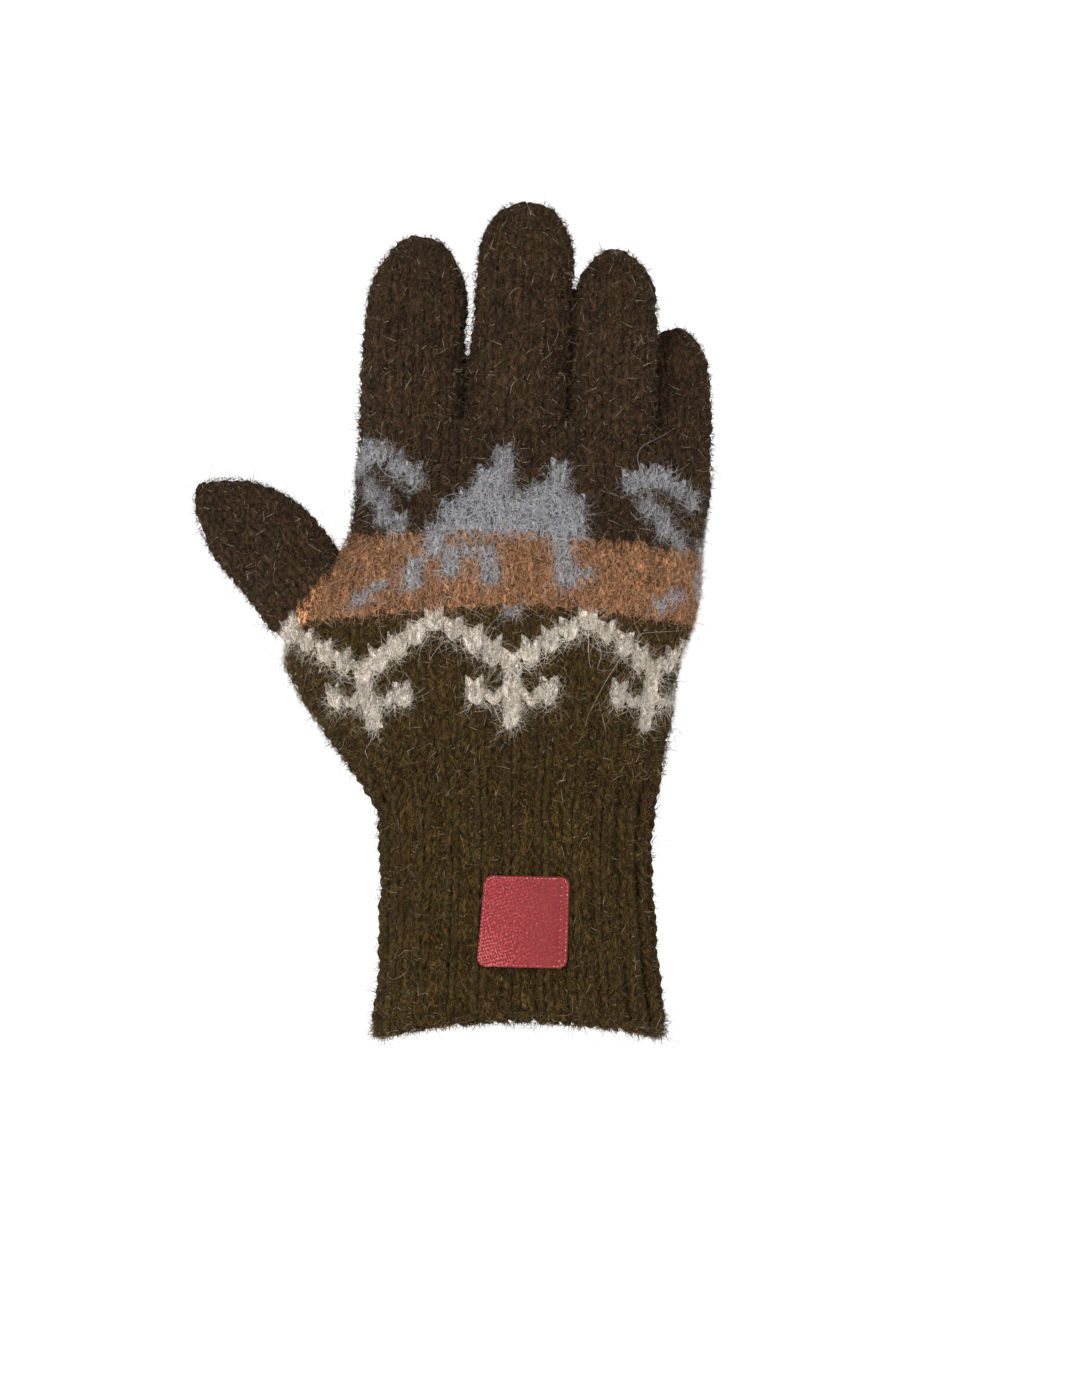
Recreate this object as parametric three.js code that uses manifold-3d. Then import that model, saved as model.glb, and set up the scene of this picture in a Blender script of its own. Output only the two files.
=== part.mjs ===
import * as THREE from "three";
import { mergeVertices } from "three/addons/utils/BufferGeometryUtils.js";
import Module from "manifold-3d";

// A chunky hand-knitted wool glove for a right hand, held open as a hand fills it.
// +Z runs from the wrist opening to the fingertips, -Y is the back of the hand and
// the thumb points to -X. The origin is the centre of the wrist opening.
// Every piece is a hollow knitted tube: a ribbed cuff, the patterned hand, four fingers
// and the thumb, with a woven label sewn on the back of the cuff. Sizes are millimetres.

const WALL = 3;
const HEM_WALL = 4.2;
const PIECE_GAP = 0.3;
const HAND_ROUNDNESS = 2.35;
const FINGER_ROUNDNESS = 2.1;

const CUFF_HEIGHT = 78;
const RIB_COUNT = 24;
const RIB_DEPTH = 1.3;
const RIB_FADE_LENGTH = 16;
const HEM_LENGTH = 12;
const HEM_ARCH = 5;

const FORK_HEIGHT = 174;
const WEB_HEIGHT = 171.8;
const KNUCKLE_SLOPE = 0.06;
const KNUCKLE_SLOPE_START = 140;

// How the rings of a finger crowd towards its tip, and how near the tip the last one is.
const RING_BUNCHING = 1.7;
const TIP_END = 0.998;
const POINTS_PER_RIB = 3;
const RING_POINTS = {
  cuff: RIB_COUNT * POINTS_PER_RIB, hand: 52, lining: 34, finger: 22, fingerLining: 16,
};

// Heights of the rings that shape each tube, closest where its form turns fastest.
const CUFF_RINGS = [0, 2.5, 7, 14, 26, 40, 54, 66];
const CUFF_LINING_RINGS = [0, 7, 14, 30, 48, 64, CUFF_HEIGHT];
const HAND_RINGS = [86, 94, 100, 104, 107, 111, 118, 127, 137, 147, 156, 163, 168, WEB_HEIGHT];
const HAND_LINING_RINGS = [74, 88, 98, 105, 112, 122, 136, 150, 160, 167, WEB_HEIGHT];
const FINGER_STEPS = { outer: 13, lining: 9 };
// The cuff's hollow runs this far past both its ends, so that they are open.
const LINING_OVERRUN = 5;

// Points that a section is measured along before its corners are spaced out evenly.
const SECTION_SAMPLES = 720;
const MERGE_DISTANCE = 1e-5;

// The glove's outer form from wrist to knuckles. left and right are the outline seen from
// the back of the hand, dorsal and palm are how far it stands out on either side of y = 0,
// and leftBend and rightBend are how far the two edges curl towards the palm.
const HAND_SECTIONS = [
  { z: 0, left: -41.6, right: 40.4, dorsal: 30.0, palm: 30.5, leftBend: 0.0, rightBend: 0.0 },
  { z: 5, left: -41.4, right: 40.2, dorsal: 29.6, palm: 30.0, leftBend: 0.0, rightBend: 0.0 },
  { z: 12, left: -40.1, right: 38.9, dorsal: 28.4, palm: 29.0, leftBend: 0.0, rightBend: 0.0 },
  { z: 32, left: -39.2, right: 37.2, dorsal: 25.8, palm: 26.5, leftBend: 0.0, rightBend: 0.0 },
  { z: 50, left: -39.2, right: 36.0, dorsal: 23.8, palm: 25.0, leftBend: 0.5, rightBend: 0.5 },
  { z: 64, left: -39.9, right: 37.4, dorsal: 22.0, palm: 24.5, leftBend: 1.0, rightBend: 1.0 },
  { z: 71, left: -43.4, right: 38.8, dorsal: 21.1, palm: 24.3, leftBend: 1.5, rightBend: 1.7 },
  { z: 78, left: -50.4, right: 40.4, dorsal: 20.2, palm: 24.0, leftBend: 2.0, rightBend: 2.5 },
  { z: 92, left: -60.0, right: 42.6, dorsal: 18.6, palm: 23.5, leftBend: 3.0, rightBend: 4.0 },
  { z: 105, left: -67.2, right: 44.5, dorsal: 17.6, palm: 22.5, leftBend: 4.0, rightBend: 5.0 },
  { z: 110, left: -67.0, right: 46.9, dorsal: 17.3, palm: 21.8, leftBend: 4.0, rightBend: 5.5 },
  { z: 122, left: -57.4, right: 50.4, dorsal: 17.0, palm: 19.5, leftBend: 4.0, rightBend: 6.5 },
  { z: 136, left: -48.8, right: 50.8, dorsal: 16.2, palm: 17.0, leftBend: 4.0, rightBend: 7.5 },
  { z: 150, left: -46.8, right: 53.0, dorsal: 14.8, palm: 15.4, leftBend: 4.0, rightBend: 8.5 },
  { z: 160, left: -45.9, right: 54.4, dorsal: 13.1, palm: 13.6, leftBend: 4.0, rightBend: 9.0 },
  { z: 166, left: -45.4, right: 53.4, dorsal: 11.6, palm: 12.0, leftBend: 4.0, rightBend: 9.0 },
  { z: 170, left: -44.3, right: 51.6, dorsal: 9.6, palm: 9.8, leftBend: 4.0, rightBend: 9.0 },
  { z: WEB_HEIGHT, left: -42.3, right: 49.8, dorsal: 7.4, palm: 7.6, leftBend: 4.0, rightBend: 9.0 },
];

// Each finger runs along a smooth line from root, inside the hand, past middle to tip.
// width is seen from the back of the hand, depth from the side, and roundness is how
// blunt the tip is: its outline over the last tipLength is a superellipse of that power.
// flare is how much wider the finger is at the web, as a share of its width.
const FINGERS = [
  {
    name: "index_finger", width: 28.2, depth: 23.5, tipLength: 20, roundness: 1.8, flare: 0.04,
    root: [-31.2, 1.0, 146], middle: [-29.9, 1.8, 190], tip: [-27.6, 5.5, 224.3],
  },
  {
    name: "middle_finger", width: 27.2, depth: 24, tipLength: 18, roundness: 2.0, flare: 0.04,
    root: [-2.6, -0.5, 146], middle: [-0.1, 0.0, 194], tip: [2.6, 4.0, 233.8],
  },
  {
    name: "ring_finger", width: 23.6, depth: 21.6, tipLength: 18, roundness: 1.85, flare: 0,
    root: [23.5, 0.2, 146], middle: [26.1, 0.6, 192], tip: [26.4, 5.0, 220.4],
  },
  {
    name: "little_finger", width: 19.8, depth: 19.0, tipLength: 17, roundness: 2.1, flare: 0,
    root: [43.8, 5.0, 144], middle: [43.4, 13.4, 176], tip: [42.8, 18.6, 198.6],
  },
];

const THUMB = {
  name: "thumb", width: 28.5, depth: 25, tipLength: 25, roundness: 1.62, flare: 0,
  root: [-47.4, 2.8, 104.4], middle: [-68.0, 5.5, 134.4], tip: [-90.6, 11.0, 153.4],
};
// Inside the hand each root is narrower, and reaches full size over this length.
const ROOT_TAPER = { length: 14, least: 0.72 };
// Between these distances from its root a flared finger narrows to its own width.
const FLARE_END = { from: 36, to: 58 };

// The thumb's knitting starts on a slanted line between these two points of the outline.
// The cut runs on by below past the low point, and from the high point up to crotch.
const THUMB_MOUTH = {
  low: [-67.2, 107.2], high: [-49.4, 136.7], below: 30, crotch: [-52, 175], bottom: 60,
};
// How far the cuts between the pieces run on behind, beside and above the glove.
const CUT = { depth: 80, side: 130, top: 300 };

const LABEL = {
  centreX: 0.7, centreZ: 32.7, width: 24.9, height: 25.2, thickness: 0.7, corner: 2.4, turn: -1.8,
};
const LABEL_COLUMNS = 12;
// How far round its corners the label's first and last columns come, as a share of the way.
const LABEL_CORNER_SHARE = 0.95;

const YARN = { roughness: 0.95, metalness: 0 };
const MATERIALS = {
  cuff: new THREE.MeshStandardMaterial({ color: 0x41321f, ...YARN }),
  hand: new THREE.MeshStandardMaterial({ color: 0x6a4a32, ...YARN }),
  finger: new THREE.MeshStandardMaterial({ color: 0x3c2e22, ...YARN }),
  label: new THREE.MeshStandardMaterial({ color: 0xa83a40, roughness: 0.6, metalness: 0 }),
};

const wasm = await Module();
wasm.setup();

// Value of one column of a section table at height z, on a smooth curve through its rows.
function sectionValue(rows, column, z) {
  const last = rows.length - 1;
  const clamped = THREE.MathUtils.clamp(z, rows[0].z, rows[last].z);
  let i = 0;
  while (i < last - 1 && clamped > rows[i + 1].z) i += 1;
  const slope = (k) => {
    const a = rows[Math.max(k - 1, 0)];
    const b = rows[Math.min(k + 1, last)];
    return (b[column] - a[column]) / (b.z - a.z);
  };
  const span = rows[i + 1].z - rows[i].z;
  const t = (clamped - rows[i].z) / span;
  const t2 = t * t;
  const t3 = t2 * t;
  return (
    (2 * t3 - 3 * t2 + 1) * rows[i][column] +
    (t3 - 2 * t2 + t) * span * slope(i) +
    (3 * t2 - 2 * t3) * rows[i + 1][column] +
    (t3 - t2) * span * slope(i + 1)
  );
}

// A superellipse as count points [across, deep], evenly spaced along it, from the +across
// side and turning towards +deep. low and high are its half depths on the two sides.
function roundSection(halfWidth, low, high, count, roundness) {
  const dense = [];
  for (let i = 0; i <= SECTION_SAMPLES; i += 1) {
    const angle = (i / SECTION_SAMPLES) * 2 * Math.PI;
    const c = Math.cos(angle);
    const s = Math.sin(angle);
    const across = Math.sign(c) * Math.abs(c) ** (2 / roundness) * halfWidth;
    const deep = Math.sign(s) * Math.abs(s) ** (2 / roundness) * (s < 0 ? low : high);
    dense.push([across, deep]);
  }
  const lengths = [0];
  for (let i = 1; i <= SECTION_SAMPLES; i += 1) {
    const step = Math.hypot(dense[i][0] - dense[i - 1][0], dense[i][1] - dense[i - 1][1]);
    lengths.push(lengths[i - 1] + step);
  }
  const points = [];
  let at = 0;
  for (let k = 0; k < count; k += 1) {
    const target = (k / count) * lengths[SECTION_SAMPLES];
    while (lengths[at + 1] < target) at += 1;
    const t = (target - lengths[at]) / (lengths[at + 1] - lengths[at]);
    points.push([
      THREE.MathUtils.lerp(dense[at][0], dense[at + 1][0], t),
      THREE.MathUtils.lerp(dense[at][1], dense[at + 1][1], t),
    ]);
  }
  return points;
}

// One horizontal section of the cuff and hand, drawn in from the outer form by inset.
function handRing(z, count, inset = 0) {
  const value = (column) => sectionValue(HAND_SECTIONS, column, z);
  const halfWidth = (value("right") - value("left")) / 2 - inset;
  const centre = (value("right") + value("left")) / 2;
  const outline = roundSection(
    halfWidth, value("dorsal") - inset, value("palm") - inset, count, HAND_ROUNDNESS,
  );
  const hem = HEM_ARCH * (1 - THREE.MathUtils.smoothstep(z, 0, 2 * HEM_LENGTH));
  const slope = KNUCKLE_SLOPE * THREE.MathUtils.smoothstep(z, KNUCKLE_SLOPE_START, FORK_HEIGHT);
  return outline.map(([x, y]) => {
    const edge = Math.abs(x) / halfWidth;
    const bend = value(x < 0 ? "leftBend" : "rightBend") * edge ** 2;
    return new THREE.Vector3(centre + x, y + bend, z + hem * (1 - edge ** 2) - slope * x);
  });
}

// The same section with the cuff's vertical ribs: a rib's last point drops into a groove.
function ribbedRing(z) {
  const outer = handRing(z, RING_POINTS.cuff);
  const grooves = handRing(z, RING_POINTS.cuff, RIB_DEPTH);
  const fade = 1 - THREE.MathUtils.smoothstep(z, CUFF_HEIGHT - RIB_FADE_LENGTH, CUFF_HEIGHT);
  const inGroove = (i) => i % POINTS_PER_RIB === POINTS_PER_RIB - 1;
  return outer.map((point, i) => (inGroove(i) ? point.lerp(grooves[i], fade) : point));
}

// Sections across a finger or thumb, square to its centre line, drawn in by inset.
function fingerRings(finger, count, steps, inset = 0) {
  const path = new THREE.CatmullRomCurve3(
    [finger.root, finger.middle, finger.tip].map((p) => new THREE.Vector3(...p)),
  );
  const length = path.getLength();
  const end = length - inset;
  const rings = [];
  for (let i = 0; i <= steps; i += 1) {
    // Steps bunch up towards the tip, where the outline turns fastest.
    const along = end * (1 - (1 - i / steps) ** RING_BUNCHING) * TIP_END;
    const toTip = THREE.MathUtils.clamp((end - along) / (finger.tipLength - inset), 0, 1);
    const taper = (1 - (1 - toTip) ** finger.roundness) ** (1 / finger.roundness);
    const rooted = THREE.MathUtils.smoothstep(along, 0, ROOT_TAPER.length);
    const scale = taper * THREE.MathUtils.lerp(ROOT_TAPER.least, 1, rooted);
    const flared = 1 - THREE.MathUtils.smoothstep(along, FLARE_END.from, FLARE_END.to);
    const tangent = path.getTangentAt(along / length);
    const across = new THREE.Vector3(0, 1, 0).cross(tangent).normalize();
    const deep = tangent.clone().cross(across);
    const centre = path.getPointAt(along / length);
    const halfWidth = (finger.width / 2 - inset) * scale * (1 + finger.flare * flared);
    const halfDepth = (finger.depth / 2 - inset) * scale;
    const outline = roundSection(halfWidth, halfDepth, halfDepth, count, FINGER_ROUNDNESS);
    rings.push(
      outline.map(([a, d]) => centre.clone().addScaledVector(across, a).addScaledVector(deep, d)),
    );
  }
  return rings;
}

// A closed solid through rings of points, each turning the same way, with both ends capped.
function loft(rings) {
  const count = rings[0].length;
  const positions = rings.flat().flatMap((p) => [p.x, p.y, p.z]);
  const triangles = [];
  for (let r = 0; r < rings.length - 1; r += 1) {
    for (let i = 0; i < count; i += 1) {
      const a = r * count + i;
      const b = r * count + ((i + 1) % count);
      triangles.push(a, b, b + count, a, b + count, a + count);
    }
  }
  for (const [r, flip] of [[0, true], [rings.length - 1, false]]) {
    const middle = rings[r].reduce((sum, p) => sum.add(p), new THREE.Vector3()).divideScalar(count);
    const centre = positions.length / 3;
    positions.push(middle.x, middle.y, middle.z);
    for (let i = 0; i < count; i += 1) {
      const a = r * count + i;
      const b = r * count + ((i + 1) % count);
      triangles.push(...(flip ? [b, a, centre] : [a, b, centre]));
    }
  }
  const geometry = new THREE.BufferGeometry();
  geometry.setAttribute("position", new THREE.Float32BufferAttribute(positions, 3));
  geometry.setIndex(triangles);
  return toSolid(geometry);
}

function toSolid(geometry) {
  const bare = geometry.clone();
  bare.deleteAttribute("normal");
  bare.deleteAttribute("uv");
  const merged = mergeVertices(bare, MERGE_DISTANCE);
  return new wasm.Manifold(
    new wasm.Mesh({
      numProp: 3,
      vertProperties: new Float32Array(merged.attributes.position.array),
      triVerts: new Uint32Array(merged.index.array),
    }),
  );
}

function toMesh(name, solid, material) {
  const { vertProperties, triVerts } = solid.getMesh();
  const geometry = new THREE.BufferGeometry();
  geometry.setAttribute("position", new THREE.BufferAttribute(vertProperties, 3));
  geometry.setIndex(new THREE.BufferAttribute(triVerts, 1));
  geometry.computeVertexNormals();
  const mesh = new THREE.Mesh(geometry, material);
  mesh.name = name;
  return mesh;
}

// A cutting tool: an outline of [x, z] corners, anticlockwise seen from the back of the
// hand, carried right through the glove.
function cutter(corners) {
  const shape = new THREE.Shape(corners.map(([x, z]) => new THREE.Vector2(x, z)));
  const geometry = new THREE.ExtrudeGeometry(shape, { depth: 2 * CUT.depth, bevelEnabled: false });
  geometry.translate(0, 0, -CUT.depth);
  geometry.rotateX(Math.PI / 2);
  return toSolid(geometry);
}

// Everything above the sloping line of the knuckles, moved up by lift.
function aboveKnuckles(lift) {
  const line = (x) => [x, FORK_HEIGHT + lift - KNUCKLE_SLOPE * x];
  return cutter([line(-CUT.side), line(CUT.side), [CUT.side, CUT.top], [-CUT.side, CUT.top]]);
}

// Everything on the thumb's side of its mouth, moved out by lift.
function beyondThumbMouth(lift) {
  const low = new THREE.Vector2(...THUMB_MOUTH.low);
  const high = new THREE.Vector2(...THUMB_MOUTH.high);
  const along = high.clone().sub(low).normalize();
  const outward = new THREE.Vector2(-along.y, along.x).multiplyScalar(lift);
  low.add(outward).addScaledVector(along, -THUMB_MOUTH.below);
  high.add(outward);
  return cutter([
    low.toArray(), high.toArray(), THUMB_MOUTH.crotch,
    [-CUT.side, THUMB_MOUTH.crotch[1]], [-CUT.side, THUMB_MOUTH.bottom],
  ]);
}

function cuffSolid() {
  const top = CUFF_HEIGHT - PIECE_GAP / 2;
  const outer = loft([...CUFF_RINGS, top].map(ribbedRing));
  const wall = (z) => {
    const share = THREE.MathUtils.smoothstep(z, 0, HEM_LENGTH);
    return THREE.MathUtils.lerp(HEM_WALL, WALL, share);
  };
  const lining = CUFF_LINING_RINGS.map((z) => handRing(z, RING_POINTS.lining, wall(z)));
  const shifted = (ring, rise) => ring.map((p) => new THREE.Vector3(p.x, p.y, p.z + rise));
  const below = shifted(lining[0], -LINING_OVERRUN);
  const above = shifted(lining.at(-1), LINING_OVERRUN);
  return outer.subtract(loft([below, ...lining, above]));
}

// The hollow inside the hand and all its fingers, open at the wrist.
function handHollow() {
  let hollow = loft(
    HAND_LINING_RINGS.map((z) => {
      const drop = WALL * THREE.MathUtils.smoothstep(z, KNUCKLE_SLOPE_START, WEB_HEIGHT);
      return handRing(z, RING_POINTS.lining, WALL).map((p) => p.setZ(p.z - drop));
    }),
  );
  for (const finger of [...FINGERS, THUMB]) {
    hollow = hollow.add(loft(fingerRings(finger, RING_POINTS.fingerLining, FINGER_STEPS.lining, WALL)));
  }
  return hollow;
}

function handSolid(hollow) {
  const bottom = CUFF_HEIGHT + PIECE_GAP / 2;
  let hand = loft([bottom, ...HAND_RINGS].map((z) => handRing(z, RING_POINTS.hand)));
  for (const finger of [...FINGERS, THUMB]) {
    hand = hand.add(fingerOuter(finger));
  }
  return hand
    .subtract(hollow)
    .subtract(aboveKnuckles(-PIECE_GAP / 2))
    .subtract(beyondThumbMouth(-PIECE_GAP / 2));
}

function fingerOuter(finger) {
  return loft(fingerRings(finger, RING_POINTS.finger, FINGER_STEPS.outer));
}

function fingerSolid(finger, hollow, region) {
  return fingerOuter(finger).subtract(hollow).intersect(region);
}

// The woven label: a thin slab bent over the back of the cuff, with rounded corners.
function labelSolid() {
  const turn = THREE.MathUtils.degToRad(LABEL.turn);
  const reach = RIB_DEPTH / 2 + PIECE_GAP;
  const rings = [];
  for (let i = 0; i <= LABEL_COLUMNS; i += 1) {
    const across = (i / LABEL_COLUMNS - 0.5) * LABEL.width;
    const pastStraight = Math.max(0, Math.abs(across) - (LABEL.width / 2 - LABEL.corner));
    const round = Math.sqrt(LABEL.corner ** 2 - (LABEL_CORNER_SHARE * pastStraight) ** 2);
    const halfHeight = LABEL.height / 2 - LABEL.corner + round;
    const place = (up, stand) => {
      const x = LABEL.centreX + across * Math.cos(turn) - up * Math.sin(turn);
      const z = LABEL.centreZ + across * Math.sin(turn) + up * Math.cos(turn);
      return new THREE.Vector3(x, cuffFront(x, z) - reach - stand, z);
    };
    const heights = [-halfHeight, 0, halfHeight];
    const back = heights.map((up) => place(up, 0));
    const face = heights.map((up) => place(up, LABEL.thickness)).reverse();
    rings.push([...back, ...face]);
  }
  return loft(rings);
}

// The y of the back of the cuff at a place seen from the front.
function cuffFront(x, z) {
  const value = (column) => sectionValue(HAND_SECTIONS, column, z);
  const halfWidth = (value("right") - value("left")) / 2;
  const edge = Math.abs(x - (value("right") + value("left")) / 2) / halfWidth;
  return -value("dorsal") * (1 - edge ** HAND_ROUNDNESS) ** (1 / HAND_ROUNDNESS);
}

const glove = new THREE.Group();
const hollow = handHollow();
glove.add(toMesh("cuff", cuffSolid(), MATERIALS.cuff));
glove.add(toMesh("hand", handSolid(hollow), MATERIALS.hand));
for (const finger of FINGERS) {
  const solid = fingerSolid(finger, hollow, aboveKnuckles(PIECE_GAP / 2));
  glove.add(toMesh(finger.name, solid, MATERIALS.finger));
}
const thumb = fingerSolid(THUMB, hollow, beyondThumbMouth(PIECE_GAP / 2));
glove.add(toMesh(THUMB.name, thumb, MATERIALS.finger));
glove.add(toMesh("cuff_label", labelSolid(), MATERIALS.label));

export default glove;
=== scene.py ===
"""A chunky knitted winter glove, dressed stitch by stitch over its solid model.

The cuff, hand, fingers and thumb are tubes of knitting. Each tube's outer surface is read
from the solid model as a grid of rings, and every stitch, loose fibre and seam thread is
then laid on that grid by Geometry Nodes.
"""
import logging
import math
from dataclasses import dataclass, field
from enum import Enum
from typing import Callable, Sequence, Union

import bpy
import numpy as np
from mathutils import Matrix, Vector
from mathutils.bvhtree import BVHTree
from mathutils.kdtree import KDTree


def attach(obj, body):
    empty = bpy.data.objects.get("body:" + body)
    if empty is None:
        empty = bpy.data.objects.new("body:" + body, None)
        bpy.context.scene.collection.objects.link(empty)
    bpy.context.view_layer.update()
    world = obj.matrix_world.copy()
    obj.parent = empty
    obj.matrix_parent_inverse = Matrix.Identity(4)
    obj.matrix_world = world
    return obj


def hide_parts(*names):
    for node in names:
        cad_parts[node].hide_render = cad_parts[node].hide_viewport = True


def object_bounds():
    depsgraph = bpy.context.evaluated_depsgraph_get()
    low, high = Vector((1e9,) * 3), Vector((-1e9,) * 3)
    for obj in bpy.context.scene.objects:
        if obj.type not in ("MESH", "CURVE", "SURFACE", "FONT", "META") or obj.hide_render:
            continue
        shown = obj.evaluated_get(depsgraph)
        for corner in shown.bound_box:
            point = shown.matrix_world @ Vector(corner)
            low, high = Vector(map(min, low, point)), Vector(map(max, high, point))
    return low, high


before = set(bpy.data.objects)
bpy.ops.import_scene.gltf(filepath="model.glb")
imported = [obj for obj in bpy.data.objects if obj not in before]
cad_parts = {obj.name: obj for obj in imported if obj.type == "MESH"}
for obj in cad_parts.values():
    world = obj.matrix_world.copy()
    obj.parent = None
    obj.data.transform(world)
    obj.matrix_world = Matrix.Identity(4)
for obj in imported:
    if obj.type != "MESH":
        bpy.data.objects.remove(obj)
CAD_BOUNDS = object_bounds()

LOG = logging.getLogger("glove")
MM = 0.001
BODY = "root"
FRONT = -math.pi / 2
TURN = 2 * math.pi
TINY = 1e-12
# What brings noise colours from 0 to 1 to either side of 0.
CENTRED = (-0.5, -0.5, -0.5)


class Yarn(Enum):
    """The yarns of the glove, by the letter that the chart uses."""

    DARK = "."
    FINGER = "f"
    RUST = "r"
    CREAM = "c"
    GREY = "g"


@dataclass(frozen=True)
class Dye:
    """How one yarn looks.

    Args:
        base: linear colour of the strand.
        loose: linear colour of its loose fibres.
        fleck: how many pale fibres are mixed in, from 0 to 1.
        fuzz: how many loose fibres it grows, against the dark yarn's 1.
        brush: how many of its fibres lie across its neighbours, from 0 to 1.
    """

    base: tuple[float, float, float]
    loose: tuple[float, float, float]
    fleck: float
    fuzz: float
    brush: float


DYES = {
    Yarn.DARK: Dye((0.060, 0.0335, 0.0065), (0.180, 0.113, 0.044), 0.30, 0.9, 0.1),
    Yarn.FINGER: Dye((0.051, 0.0265, 0.0115), (0.140, 0.084, 0.044), 0.22, 0.8, 0.1),
    Yarn.RUST: Dye((0.330, 0.155, 0.070), (0.510, 0.280, 0.158), 0.85, 1.2, 0.5),
    Yarn.CREAM: Dye((0.800, 0.705, 0.610), (0.900, 0.820, 0.720), 0.34, 1.4, 0.8),
    Yarn.GREY: Dye((0.270, 0.266, 0.280), (0.560, 0.560, 0.590), 1.0, 1.6, 1.0),
}

# One repeat of the hand's colourwork, sixteen stitches wide, from its lowest row up.
CHART = (
    "c.......c.......",
    "c.......c.......",
    "ccc...ccccc...cc",
    "c.c...c.c.c...c.",
    "c.......c.......",
    "cc.....ccc.....c",
    ".cc...cc.cc...cc",
    "..cc.cc...cc.cc.",
    "...ccc.....ccc..",
    "....c...g...c...",
    "rrrrrrrrrrrrrrrr",
    "grrrrrrrrrrrrrrr",
    "rgrgrrrgrrrgrrrr",
    "rrrgrgrgrrrggrrr",
    "rrrgrgrgrrrgrrrr",
    "rrrrggggrrrgrrrr",
    "rrrrgrrrrrrgrrrr",
    "..g.ggggggggg...",
    ".gg..gggggggg...",
    ".g...gggggggg...",
    "gg....ggggggg...",
    "g..g...gg.gg....",
    "..gg...gg..g...g",
    "ggg.....g..g...g",
    "gg......g.......",
)
# The stitch of a line that is the middle of the back of the hand.
CHART_MIDDLE = 8
# The last row in which plain stitches have the cuff's yarn and not the fingers'.
BAND_TOP = 16
CHART_ROW = 3.12 * MM
CHART_BOTTOM = 85.6 * MM
# Rows of the hand below the chart, and all rows of the cuff below them.
ROWS_BELOW_CHART = 3
CUFF_ROWS = 23


def smooth_step(low: float, high: float, value: np.ndarray) -> np.ndarray:
    """A smooth 0 to 1 as value goes from low to high."""
    t = np.clip((value - low) / (high - low), 0, 1)
    return t * t * (3 - 2 * t)


def unit(vectors: np.ndarray) -> np.ndarray:
    """Each row of vectors at length 1."""
    return vectors / np.maximum(np.linalg.norm(vectors, axis=-1, keepdims=True), TINY)


def chart_yarn(column: int, row: int) -> Yarn:
    """The yarn of one stitch of the hand.

    Args:
        column: stitches round from the middle of the back of the hand.
        row: rows up from the bottom of the chart.

    Returns:
        The yarn: above the chart the fingers' yarn, below it the cuff's.
    """
    found = Yarn.DARK
    if 0 <= row < len(CHART):
        line = CHART[row]
        found = Yarn(line[(column + CHART_MIDDLE) % len(line)])
    return Yarn.FINGER if found is Yarn.DARK and row > BAND_TOP else found


def cuff_yarn(column: int, row: int) -> Yarn:
    """The yarn of every stitch of the cuff."""
    return Yarn.DARK


def finger_yarn(column: int, row: int) -> Yarn:
    """The yarn of every stitch of the fingers and thumb."""
    return Yarn.FINGER


def linked(name: str, data: bpy.types.ID) -> bpy.types.Object:
    """A new object of the scene that holds a mesh, a light or a camera.

    Args:
        name: the object's name.
        data: what it holds.

    Returns:
        The object.
    """
    holder = bpy.data.objects.new(name, data)
    bpy.context.scene.collection.objects.link(holder)
    return holder


def settled(carrier: bpy.types.Object, name: str) -> bpy.types.Mesh:
    """Takes the mesh that an object's modifiers make, and removes the object.

    Args:
        carrier: the object with the modifiers.
        name: the new mesh's name.

    Returns:
        The plain mesh.
    """
    base = carrier.data
    graph = bpy.context.evaluated_depsgraph_get()
    mesh = bpy.data.meshes.new_from_object(
        carrier.evaluated_get(graph), preserve_all_data_layers=True, depsgraph=graph
    )
    carrier.modifiers.clear()
    bpy.data.objects.remove(carrier)
    bpy.data.meshes.remove(base)
    mesh.name = name
    return mesh


def store(mesh: bpy.types.Mesh, **columns: Sequence) -> None:
    """Stores attributes on a mesh's points.

    Args:
        mesh: the mesh.
        columns: for each attribute, a number or three numbers a point.
    """
    for name, column in columns.items():
        values = np.array(column, np.float32)
        kind, key = ("FLOAT_VECTOR", "vector") if values.ndim > 1 else ("FLOAT", "value")
        mesh.attributes.new(name, kind, "POINT").data.foreach_set(key, values.ravel())


def tube_faces(rows: int, around: int) -> np.ndarray:
    """The faces of a tube whose points are numbered row by row.

    Args:
        rows: rows of points.
        around: points in each row.

    Returns:
        Four points for each face, which looks outwards.
    """
    index = np.arange(rows * around).reshape(rows, around)
    right = np.roll(index, -1, 1)
    return np.stack([index[:-1], right[:-1], right[1:], index[1:]], axis=-1).reshape(-1, 4)


# Node trees.


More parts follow.
